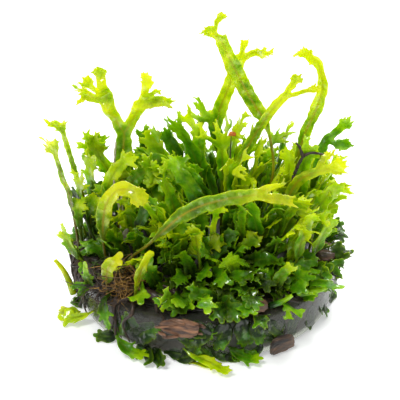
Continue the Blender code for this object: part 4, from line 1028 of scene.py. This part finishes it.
# Rolled young leaves, stalks and rhizomes, as round rods: node name, finish, radius, points.
RODS = (
    ("rolled_leaf_left", "leaf_light", 1.1, ((-41.6, -9.6, 4.6), (-42.8, -9.2, 8.8), (-44.6, -8.6, 12.8),
     (-47, -8, 16))),
    ("rolled_leaf_right", "leaf_green", 1.1, ((27.8, -27.6, 16.6), (31.5, -28.6, 17.6), (36, -29.2, 19.6))),
    ("rolled_leaf_front", "leaf_green", 1, ((18.6, -34.2, 16.4), (22.4, -35, 18.4), (25.2, -35.4, 20.8))),
    ("dead_stalk", "dead_frond", 0.7, ((26.5, 12.5, 26.5), (28.2, 12.5, 35), (31.2, 12.8, 41),
     (36.6, 13, 42.2))),
    ("rhizome_left", "root", 1.5, ((-36.8, -12.5, 17.2), (-34.8, -17, 17.4), (-33.6, -21.5, 17.2))),
    ("rhizome_front", "root", 1.5, ((-19, -28, 17.4), (-14.5, -31, 17.4), (-10.5, -33.5, 17.2))),
)

# Lumps of wood and roots: node name, finish, centre, half sizes, turn about Z and lean about X in degrees.
LUMPS = (
    ("bark_flake", "wood", (-7.6, -43.2, 14.4), (6.2, 0.8, 2.6), -11, 0),
    ("rotten_wood", "wood", (36.6, -6, 17.6), (3.4, 5.2, 2.1), 12, 0),
    ("wood_knob", "wood", (15.6, -35.6, 17.3), (2.4, 1.8, 1.9), 20, 0),
    ("red_wood_chip", "wood", (22.4, -35.6, 3.4), (4.4, 0.9, 2.9), 32, -4),
    ("root_ball", "root", (-25.6, -24, 18.9), (3.4, 3, 3.4), 0, 0),
)

# Splinters of the bark flake: place along it, height, half length and slant in degrees.
SPLINTERS = (
    (-5.6, 1.6, 2.2, 24), (-3.6, 2.4, 2.6, 14), (-0.8, 2.6, 2.4, -8), (2.6, 2.2, 2.8, -16),
    (5.4, 0.8, 2.2, -26), (4.6, -1.8, 2.6, -20), (1.2, -2.6, 2.8, 6), (-2.8, -2.4, 2.4, 16),
    (-5.4, -1.0, 1.8, -30), (0.6, 0.4, 3.0, -10),
)

# Lumps of the wood sunk in the gel: centre, half sizes, turn, lean and seed.
SUNKEN_LUMPS = (
    ((-14, -30, 7.5), (8.0, 4.0, 5.0), -8, 6, 21), ((-4, -33, 10.5), (5.0, 3.0, 3.6), 12, -10, 22),
    ((10, -26, 6.5), (7.0, 4.0, 4.5), 20, 4, 23), ((26, -18, 8.5), (5.0, 6.0, 5.0), 40, 0, 24),
    ((33, 13, 7.0), (5.5, 7.5, 5.0), 22, 8, 25), ((12, 33, 8.0), (9.0, 5.0, 4.5), -16, -6, 26),
    ((-18, 31, 7.0), (7.0, 5.0, 5.0), 30, 6, 27), ((-34, 8, 8.0), (5.0, 8.0, 4.6), 12, 0, 28),
)

# The profile of the wood sunk in the gel: radius and height, from the top's centre to the underside's.
SUNKEN_PROFILE = (
    (0.0, 13.6), (12.0, 13.6), (24.0, 13.4), (33.0, 13.0), (36.4, 11.0), (36.8, 8.0), (36.4, 5.0),
    (35.6, 2.0), (34.0, 0.6), (20.0, 0.6), (0.0, 0.6),
)

# Joined leaves round and inside the rim: name, count, sector's middle and spread in degrees, reach,
# lengths, tones, seed.
RIM_PIECES = (
    ("rim_leaves_front", 28, (-72, 84), (22, 37), (8, 17), (-0.1, 1.1), 6),
    ("low_leaves_front", 28, (-88, 96), (9, 29), (10, 19), (-0.2, 0.8), 9),
    ("rim_leaves_side", 26, (-5, 90), (26, 37), (8, 14), (0.15, 0.6), 7),
    ("rim_leaves_back", 56, (120, 190), (18, 38), (8, 15), (0.1, 0.8), 8),
)

# Joined small fronds: name, finish, count, sector, reach, heights, tones, seed, node that they replace.
UNDERGROWTH = (
    ("undergrowth_front", "leaf_green", 38, (-80, 120), (4, 29), (32, 15), (0.1, 0.85), 1, "undergrowth"),
    ("undergrowth_right", "fresh", 44, (5, 110), (4, 29), (42, 26), (0.85, 1.5), 2),
    ("undergrowth_back", "leaf_green", 42, (105, 130), (4, 30), (36, 16), (0.2, 0.8), 3),
    ("undergrowth_left", "fresh", 34, (195, 90), (4, 31), (34, 12), (0.3, 1.2), 4),
    ("undergrowth_heart", "fresh", 30, (60, 360), (2, 20), (46, 32), (0.35, 0.95), 5),
)

# Nests of root strands: name, centre, spread, count, finish.
TANGLES = (
    ("root_tangle", (-26.2, -24.0, 18.0), (3.8, 3.2, 2.6), 150, "root"),
    ("gold_tangle", (-24.6, -27.0, 19.6), (2.8, 2.0, 2.4), 110, "gold"),
    ("moss_tangle", (-24.8, -24.0, 20.6), (2.6, 2.2, 1.8), 50, "moss"),
)

# Leaf finishes: material name, old, grown, young and rib colours, glow through the flesh, and the share of
# pale flecks that are painted sheen.
LEAF_FINISHES = {
    "leaf_light": ("young_blade", (0.012, 0.045, 0.0005), (0.13, 0.24, 0.0015), (0.54, 0.57, 0.002),
                   (0.34, 0.23, 0.012), 0.65, 0.14),
    "leaf_green": ("grown_blade", (0.003, 0.022, 0.0004), (0.050, 0.20, 0.001), (0.34, 0.56, 0.002),
                   (0.09, 0.17, 0.004), 0.35, 0.05),
    "fresh": ("fresh_blade", (0.005, 0.040, 0.0004), (0.095, 0.28, 0.001), (0.47, 0.62, 0.002),
              (0.17, 0.20, 0.006), 0.5, 0.12),
    "leaf_dark": ("old_blade", (0.003, 0.012, 0.0004), (0.020, 0.080, 0.001), (0.20, 0.34, 0.003),
                  (0.05, 0.08, 0.004), 0.3, 0.04),
}

# Wood and root finishes: material name, dark and light colours, grain scale, wetness.
WOOD_FINISHES = {
    "wood": ("bark", (0.012, 0.008, 0.006), (0.26, 0.13, 0.06), 420.0, 0.3),
    "root": ("root", (0.008, 0.005, 0.003), (0.08, 0.040, 0.016), 900.0, 0.3),
    "gold": ("gold_root", (0.07, 0.028, 0.004), (0.50, 0.27, 0.03), 900.0, 0.3),
    "moss": ("mossy_root", (0.02, 0.03, 0.003), (0.22, 0.26, 0.03), 900.0, 0.3),
    "flake": ("bark_flake", (0.04, 0.016, 0.008), (0.40, 0.19, 0.09), 700.0, 0.2),
    "orange": ("withered_tip", (0.45, 0.09, 0.003), (0.85, 0.28, 0.01), 900.0, 0.3),
    "core": ("sunken_wood", (0.006, 0.005, 0.003), (0.10, 0.060, 0.032), 150.0, 0.0),
    "dead_frond": ("dead_frond", (0.02, 0.012, 0.006), (0.13, 0.08, 0.03), 900.0, 0.3),
    # Near-black peat under the leaves, darkened so that it also stands in for their shade.
    "peat_and_shade": ("black_peat_and_shade", (0.004, 0.003, 0.002), (0.03, 0.02, 0.012), 500.0, 0.3),
    "pale": ("pale_dead_stalk", (0.30, 0.26, 0.17), (0.75, 0.70, 0.50), 700.0, 0.3),
}

# The material slot of a finish, where its name is another.
SLOT_OF = {"fresh": "leaf_light", "fresh_green": "leaf_green"}

# How a packed frond's blade bends: gutter, wave of the margins, nod of the crest, twist in degrees.
BENDS = (0.16, 1.0, 0.008, 14.0)


# ---- Growing the tuft ---------------------------------------------------------------------------

def outward(turn):
    """The level direction out from the middle at an angle round it, in radians, and the one aside."""
    return np.array((math.cos(turn), math.sin(turn), 0.0)), np.array((-math.sin(turn), math.cos(turn), 0.0))


def rooted(points):
    """A frond's midrib, carried down from its root into the rhizomes under the tuft, and by how much."""
    root = np.array(points[0], dtype=float)
    if root[2] < GEL_TOP + 2.5:
        return points, 0.0
    painted_foot_shade = np.array((*(MIDDLE + (root[:2] - MIDDLE) * 0.86), GEL_TOP - 0.8))
    return (tuple(painted_foot_shade), *points), float(np.linalg.norm(root - painted_foot_shade))


def crests(chance, size):
    """A small frond's crest: a fork, a fan, an antler, a forked hand or two blunt tips."""
    kind = chance.integers(0, 6)
    wide = 0.31 * size
    thin = 0.7 * wide
    if kind == 0:
        return (arm(-30, size, wide), arm(24, 0.9 * size, wide))
    if kind == 1:
        return fan(3, chance.uniform(-10, 10), 80, size, wide)
    if kind == 2:
        return fan(4, chance.uniform(-10, 10), 105, size, 0.85 * wide)
    if kind == 3:
        return (arm(-26, 0.6 * size, wide, arm(-52, 0.7 * size, thin), arm(-12, 0.8 * size, thin)),
                arm(24, 0.6 * size, wide, arm(4, 0.8 * size, thin), arm(54, 0.7 * size, thin)))
    if kind == 4:
        return (arm(-44, 0.8 * size, 0.8 * wide),
                arm(-8, 0.5 * size, 1.3 * wide, *fan(3, 0, 60, 0.9 * size, thin)),
                arm(38, 0.9 * size, 0.8 * wide))
    return (arm(-20, 1.2 * size, wide), arm(16, 1.4 * size, 1.2 * wide))


def rim_crest(chance, size):
    """A rim leaf's crest: mostly blunt broad lobes."""
    kind = chance.integers(0, 4)
    if kind == 0:
        return fan(3, chance.uniform(-10, 10), 90, size, 0.62 * size)
    if kind == 1:
        return fan(4, chance.uniform(-10, 10), 120, size, 0.6 * size)
    if kind == 2:
        return (arm(-34, size, 0.6 * size), arm(26, 1.1 * size, 0.6 * size))
    return crests(chance, size)


def small_leaves(count, sector, reach, heights, tones, seed):
    """Small fronds of the undergrowth: rooted across a sector of the puck, leaning out from its middle.

    sector is (middle, spread) in degrees, reach the least and most distance of a root from the
    tuft's middle, and heights what a leaf's height falls from and to over that distance.
    """
    chance = np.random.default_rng(seed)
    made = []
    for number in range(count):
        turn = math.radians(sector[0] + sector[1] * (chance.random() - 0.5))
        far = math.sqrt(chance.uniform(reach[0] ** 2, reach[1] ** 2))
        out, aside = outward(turn)
        share = far / reach[1]
        tall = (heights[0] + (heights[1] - heights[0]) * share) * chance.uniform(0.7, 1.15)
        lean = tall * (0.12 + 0.42 * share) * chance.uniform(0.5, 1.4)
        over = out * lean + aside * chance.normal(0, 0.16) * tall
        root = np.array((*MIDDLE, GEL_TOP - 0.6)) + out * far
        up = np.array((0.0, 0.0, tall))
        points = (root, root + 0.45 * up + 0.3 * over, root + 0.78 * up + 0.66 * over, root + up + 1.2 * over)
        facing = out * 0.8 + np.array((chance.normal(0, 0.4), -0.35 + chance.normal(0, 0.4), 0.35))
        length = float(np.linalg.norm(points[2] - points[0]))
        width = chance.uniform(1.9, 3.4) if chance.random() < 0.65 else chance.uniform(3.6, 5.0)
        tone = chance.uniform(*tones)
        lobes = crests(chance, chance.uniform(4.0, 7.0))
        bend = (0.2, 1.2, 0.02, 35.0 * chance.normal())
        side_lobes = int(chance.integers(0, 4))
        made.append(blade(points, facing, width, 0.3 * length, lobes, bend, SEEDS_APART * seed + number,
                          SMALL_CELL, tone, side_lobes))
    return made


def rim_leaves(count, sector, reach, lengths, tones, seed):
    """Short broad leaves low on the puck's top, leaning out over its rim with their upper sides up."""
    chance = np.random.default_rng(seed)
    up = np.array((0.0, 0.0, 1.0))
    made = []
    for number in range(count):
        turn = math.radians(sector[0] + sector[1] * (chance.random() - 0.5))
        out, aside = outward(turn)
        aside = aside * chance.normal(0, 0.45)
        far = chance.uniform(*reach)
        length = chance.uniform(*lengths)
        way = unit(out + aside)
        rise = chance.uniform(0.25, 0.95)
        root = out * far + up * (GEL_TOP - 0.4)
        steps = ((0.3, 0.4 * rise), (0.72, 0.62 * rise), (1.1, 0.62 * rise - 0.12))
        points = (root, *(root + length * (along * way + high * up) for along, high in steps))
        width = chance.uniform(2.6, 4.8)
        facing = 0.7 * up + 0.5 * out + np.array((chance.normal(0, 0.25), -0.3, 0.0))
        lobes = rim_crest(chance, chance.uniform(2.6, 4.4))
        bend = (0.18, 1.3, 0.015, 25.0 * chance.normal())
        made.append(blade(points, facing, width, 0.22 * length, lobes, bend, SEEDS_APART * seed + number,
                          SMALL_CELL, chance.uniform(*tones), 4))
    return made


def wall_leaf(turn, height, aim, length, width, off, tone, lobes, seed):
    """A leaf pressed to the puck: it starts at an angle round the puck and a height, and runs along
    the wall. aim turns it from straight up, in degrees, positive to the right seen from outside.
    Past the rim it lies on the top, and at the foot on the floor. off is its depth outside the wall."""
    points = []
    for share in np.linspace(0.0, 1.0, 5):
        way = aim + 30 * math.sin(seed) * share
        across = math.sin(math.radians(way)) * share * length
        rise = height + math.cos(math.radians(way)) * share * length
        radius = GEL_RADIUS - 2.0 * (GEL_TOP - min(rise, GEL_TOP)) / GEL_TOP + off
        radius += max(0.7 - rise, 0.0) - max(rise - GEL_TOP, 0.0)
        angle = math.radians(turn) + across / radius
        kept = min(max(rise, 0.7), GEL_TOP + off)
        points.append((radius * math.cos(angle), radius * math.sin(angle), kept))
    facing = outward(math.radians(turn))[0] + np.array((0.0, 0.0, 0.5))
    return blade(points, facing, width, 0.12 * length, lobes, (0.12, 0.6, 0.0, 0.0), seed, SMALL_CELL, tone)


def wall_leaves():
    """The leaves of the wall's table, and others strewn round the sides and the back."""
    made = [wall_leaf(*row[:7], fan(*row[7:]), 500 + number) for number, row in enumerate(WALL_LEAVES)]
    chance = np.random.default_rng(76)
    for number in range(34):
        turn = -20 + 6.5 * number + chance.uniform(-3, 3)
        lobes = fan(int(chance.integers(2, 5)), 0, 95, chance.uniform(2.4, 3.6), 2.1)
        made.append(wall_leaf(turn, chance.uniform(2, 13), chance.uniform(90, 270), chance.uniform(6, 9),
                              chance.uniform(3, 6), chance.uniform(-0.5, 0.4), chance.uniform(0.3, 0.9),
                              lobes, 600 + number))
    return made


def make_finishes():
    """Every material by its short name."""
    shared, grain = blade_group(), wood_group()
    finishes = {name: blade_finish(shared, *row) for name, row in LEAF_FINISHES.items()}
    finishes.update({name: wood_finish(grain, *row) for name, row in WOOD_FINISHES.items()})
    finishes["fresh_green"] = finishes["fresh"]
    finishes["gel"] = gel_finish()
    return finishes


def add_gel(finishes):
    """The puck of gel: a flat top, a rounded rim and a wall that narrows to its foot."""
    bevel = 1.2
    corner = [(GEL_RADIUS - bevel + bevel * math.sin(turn), GEL_TOP - bevel + bevel * math.cos(turn))
              for turn in np.radians((0, 22, 45, 68, 90))]
    top = [(radius, GEL_TOP) for radius in np.linspace(1.5, GEL_RADIUS - 2 * bevel, 26)]
    profile = [(0.0, GEL_TOP), *top, *corner, (GEL_RADIUS - 0.5, 9.0), (GEL_RADIUS - 1.2, 4.0),
               (GEL_RADIUS - 2.1, 0.7), (GEL_RADIUS - 2.8, 0.0), (0.0, 0.0)]
    piece("gel", [turned_skin(profile, 128, 0.09)], finishes["gel"], "gel", "gel_puck")


def add_leaves(finishes):
    """The fronds, the leaves on the wall and round the rim, and the undergrowth."""
    for number, (name, finish, tone, facing, width, stipe, points, arms) in enumerate(FRONDS):
        route, extra = rooted(points)
        tone += 0.06 * math.sin(5.1 * number)
        made = blade(route, np.array(facing), width, stipe + extra, arms, BENDS, 40 + number, FINE_CELL, tone)
        slot = SLOT_OF.get(finish, finish)
        piece("blade_" + name.removeprefix("frond_"), [made], finishes[finish], slot, name)
    for number, (name, finish, tone, facing, width, stipe, points, arms) in enumerate(MORE_FRONDS):
        made = blade(points, np.array(facing), width, stipe, arms, BENDS, 140 + number, FINE_CELL, tone, 4)
        piece("blade_" + name, [made], finishes[finish], SLOT_OF.get(finish, finish))
    green = finishes["leaf_green"]
    piece("wall_leaves", wall_leaves(), green, "leaf_green")
    for name, *row in RIM_PIECES:
        piece(name, rim_leaves(*row), green, "leaf_green")
    for name, finish, count, sector, reach, heights, tones, seed, *nodes in UNDERGROWTH:
        made = small_leaves(count, sector, reach, heights, tones, seed)
        piece(name, made, finishes[finish], SLOT_OF.get(finish, finish), *nodes)


def bark_splinters(centre, turn):
    """The bark flake's splinters, lying along it and across its face."""
    made = []
    for number, (along, up, long, slant) in enumerate(SPLINTERS):
        spot = np.array(centre) + (along, 0.2 * along - 0.3, up)
        made.append(lump_skin(spot, (long, 0.5, 0.45), turn + slant, slant, 60 + number, 0.12, 0.8, 0.15, 14))
    return made


def add_wood(finishes):
    """Rods, lumps, dead stalks and scraps, the dark twig and the orange tip."""
    for name, finish, radius, points in RODS:
        lumps = 0.12 if finish == "root" else 0.03
        tone = {"leaf_light": 1.6, "leaf_green": 1.2}.get(finish, 0.0)
        made = tube(points, radius, 12, 0.55, lumps, len(name), tone)
        piece("rod_" + name, [made], finishes[finish], finish, name)
    for number, (name, slot, centre, sizes, turn, lean) in enumerate(LUMPS):
        parts = [lump_skin(centre, sizes, turn, lean, number + 3, 0.07, 0.75, 0.3 if slot == "wood" else 0.1)]
        finish = slot
        if name == "bark_flake":
            parts += bark_splinters(centre, turn)
            finish = "flake"
        piece("lump_" + name, parts, finishes[finish], slot, name)
    stalks = [
        tube(((-26.8, -2, 15), (-26.4, -2, 24), (-26.9, -1.5, 32), (-28.4, 0, 40), (-27.6, 2, 52)),
             0.55, 8, 0.4),
        tube(((-25.6, -2, 15), (-25.4, -2, 25), (-25.9, -1.5, 32), (-26.8, 0, 39)), 0.45, 8, 0.4),
    ]
    piece("pale_stalk", stalks, finishes["pale"], "dead_frond")
    scrap = blade(((-26.4, -8, 20.0), (-25.9, -8.5, 22.5), (-25.2, -9, 25.2), (-24.9, -9, 26.6)),
                  np.array(FRONT), 2.4, 0.5, (arm(10, 2.4, 1.6),), BENDS, 91, SMALL_CELL)
    piece("dead_blade_scrap", [scrap], finishes["pale"], "dead_frond")
    twigs = [
        tube(((27.6, 2, 30), (26.3, -6, 42.7), (27.4, -6, 47.5), (29.1, -6, 51.3), (31.7, -6, 52.7),
              (35.4, -6, 52)), 0.75, 8, 0.5, 0.1, 4),
        tube(((29.1, -6, 51), (28.1, -6, 54.4), (26.8, -6, 56.1)), 0.55, 8, 0.5, 0.1, 5),
    ]
    piece("dark_twig", twigs, finishes["root"], "dead_frond")
    stalk = tube(((8.0, 2, 30), (7.2, -0.5, 44), (7.5, -1.8, 56.6)), 0.5, 8, 0.2)
    piece("orange_tip_stalk", [stalk], finishes["dead_frond"], "dead_frond")
    tip = lump_skin((7.7, -2.0, 57.0), (1.2, 0.6, 0.7), 0, 24, 8, 0.2, 0.9, 0.1, 16)
    piece("orange_tip", [tip], finishes["orange"], "dead_frond")


def strewn_strand(chance, spot, spread):
    """A root strand that wanders round a spot and stays above the gel."""
    place = np.array(spot) + chance.normal(0, 0.6, 3) * spread
    route = [place]
    for _ in range(4):
        place = place + chance.normal(0, 0.75, 3) * spread
        place = np.array((place[0], place[1], max(place[2], GEL_TOP - 0.5)))
        route.append(place)
    return tube(route, chance.uniform(0.09, 0.26), 5, 0.3)


def hanging_root(chance, sector, most_places):
    """A root that crosses the rim somewhere in a sector, given in degrees, and hangs down the wall."""
    turn = math.radians(chance.uniform(*sector))
    route = []
    for far, high in ((34, 15.8), (38.5, 16.2), (41.9, 14.6), (41.6, 9.0), (40.7, 3.0), (40.2, 0.6)):
        turn += chance.normal(0, 0.055)
        wide = far + chance.uniform(-0.5, 0.8)
        route.append((wide * math.cos(turn), wide * math.sin(turn), high + chance.uniform(-0.3, 0.8)))
    route = route[: chance.integers(3, most_places + 1)]
    return tube(route, chance.uniform(0.2, 0.75), 6, 0.3, 0.12, 5)


def runner(chance):
    """A thin rhizome that wanders over the puck's top."""
    turn = chance.uniform(0, 2 * math.pi)
    far = 35 * math.sqrt(chance.random())
    place = np.array((far * math.cos(turn), far * math.sin(turn), GEL_TOP + 0.3))
    route = [place]
    way = chance.uniform(0, 2 * math.pi)
    for _ in range(4):
        way += chance.normal(0, 0.7)
        place = place + np.array((4 * math.cos(way), 4 * math.sin(way), 0.0))
        route.append(np.array((place[0], place[1], GEL_TOP + chance.uniform(-0.3, 2.5))))
    return tube(route, chance.uniform(0.22, 0.7), 6, 0.3, 0.1, 3)


def add_roots(finishes):
    """Nests of strands, roots down the wall, runners and a near-black mat on the top (peat, darkened as
    painted shade between the leaves), and the wood in the gel.
    """
    chance = np.random.default_rng(77)
    for name, spot, spread, count, finish in TANGLES:
        strands = [strewn_strand(chance, spot, spread) for _ in range(count)]
        piece(name, strands, finishes[finish], "root")
    hanging = [hanging_root(chance, (-206, -122), 6) for _ in range(60)]
    hanging += [hanging_root(chance, (-15, 154), 5) for _ in range(40)]
    piece("hanging_roots", hanging, finishes["root"], "root")
    chance = np.random.default_rng(78)
    piece("runners", [runner(chance) for _ in range(150)], finishes["root"], "root")
    # A near-black mat over the puck's top: peat, and painted shade that fills the gaps between the leaves.
    peat_and_shade = lump_skin((-1, 0, GEL_TOP + 0.1), (36, 35, 2.6), 0, 0, 31, 0.04, 0.9, 0.4, 60)
    piece("peat_and_shade", [peat_and_shade], finishes["peat_and_shade"], "root")
    sunken = [turned_skin(SUNKEN_PROFILE, 120, 0.0, 0.03)]
    sunken += [lump_skin(*row, 0.1, 0.7, 0.5) for row in SUNKEN_LUMPS]
    piece("sunken_wood", sunken, finishes["core"], "wood")


# ---- Floor, light and camera --------------------------------------------------------------------

FLOOR_HALF = 3.0
SKY_STRENGTH = 0.42
LAMPS = (("key", (-0.35, -0.5, 1.0), 18, 1.7), ("back", (0.3, 1.0, 0.9), 35, 3.4))
LENS = 146.25
SENSOR_WIDTH = 36.0
CAMERA_AIM = (-0.00192, 0.01424, 0.02466)
CAMERA_DISTANCE = 0.52
CAMERA_RISE = math.radians(30)


def add_stage():
    """A wide pale floor."""
    far = FLOOR_HALF
    mesh = bpy.data.meshes.new("floor")
    mesh.from_pydata([(-far, -far, 0), (far, -far, 0), (far, far, 0), (-far, far, 0)], [], [(0, 1, 2, 3)])
    mesh.materials.append(plain_finish("pale_floor", (0.93, 0.94, 0.94), 0.7, 0.4))
    floor = bpy.data.objects.new("floor", mesh)
    bpy.context.scene.collection.objects.link(floor)


def add_light_and_camera(scene):
    """An even white sky, two soft suns given by where they stand, and the camera."""
    scene.view_settings.view_transform = "Standard"
    world = bpy.data.worlds.new("studio")
    world.use_nodes = True
    sky = world.node_tree.nodes["Background"]
    sky.inputs["Color"].default_value = (1, 1, 1, 1)
    sky.inputs["Strength"].default_value = SKY_STRENGTH
    scene.world = world
    for name, place, spread, strength in LAMPS:
        lamp = bpy.data.lights.new(name, "SUN")
        lamp.angle = math.radians(spread)
        lamp.energy = strength
        made = bpy.data.objects.new(name, lamp)
        made.rotation_euler = (-Vector(place)).to_track_quat("-Z", "Y").to_euler()
        scene.collection.objects.link(made)

    camera = bpy.data.objects.new("camera", bpy.data.cameras.new("camera"))
    camera.data.lens = LENS
    camera.data.sensor_width = SENSOR_WIDTH
    across, back, up = CAMERA_AIM
    back -= CAMERA_DISTANCE * math.cos(CAMERA_RISE)
    up += CAMERA_DISTANCE * math.sin(CAMERA_RISE)
    camera.location = (across, back, up)
    camera.rotation_euler = (math.pi / 2 - CAMERA_RISE, 0.0, 0.0)
    scene.collection.objects.link(camera)
    scene.camera = camera


def main():
    finishes = make_finishes()
    add_gel(finishes)
    add_leaves(finishes)
    add_wood(finishes)
    add_roots(finishes)
    add_stage()
    add_light_and_camera(bpy.context.scene)


main()
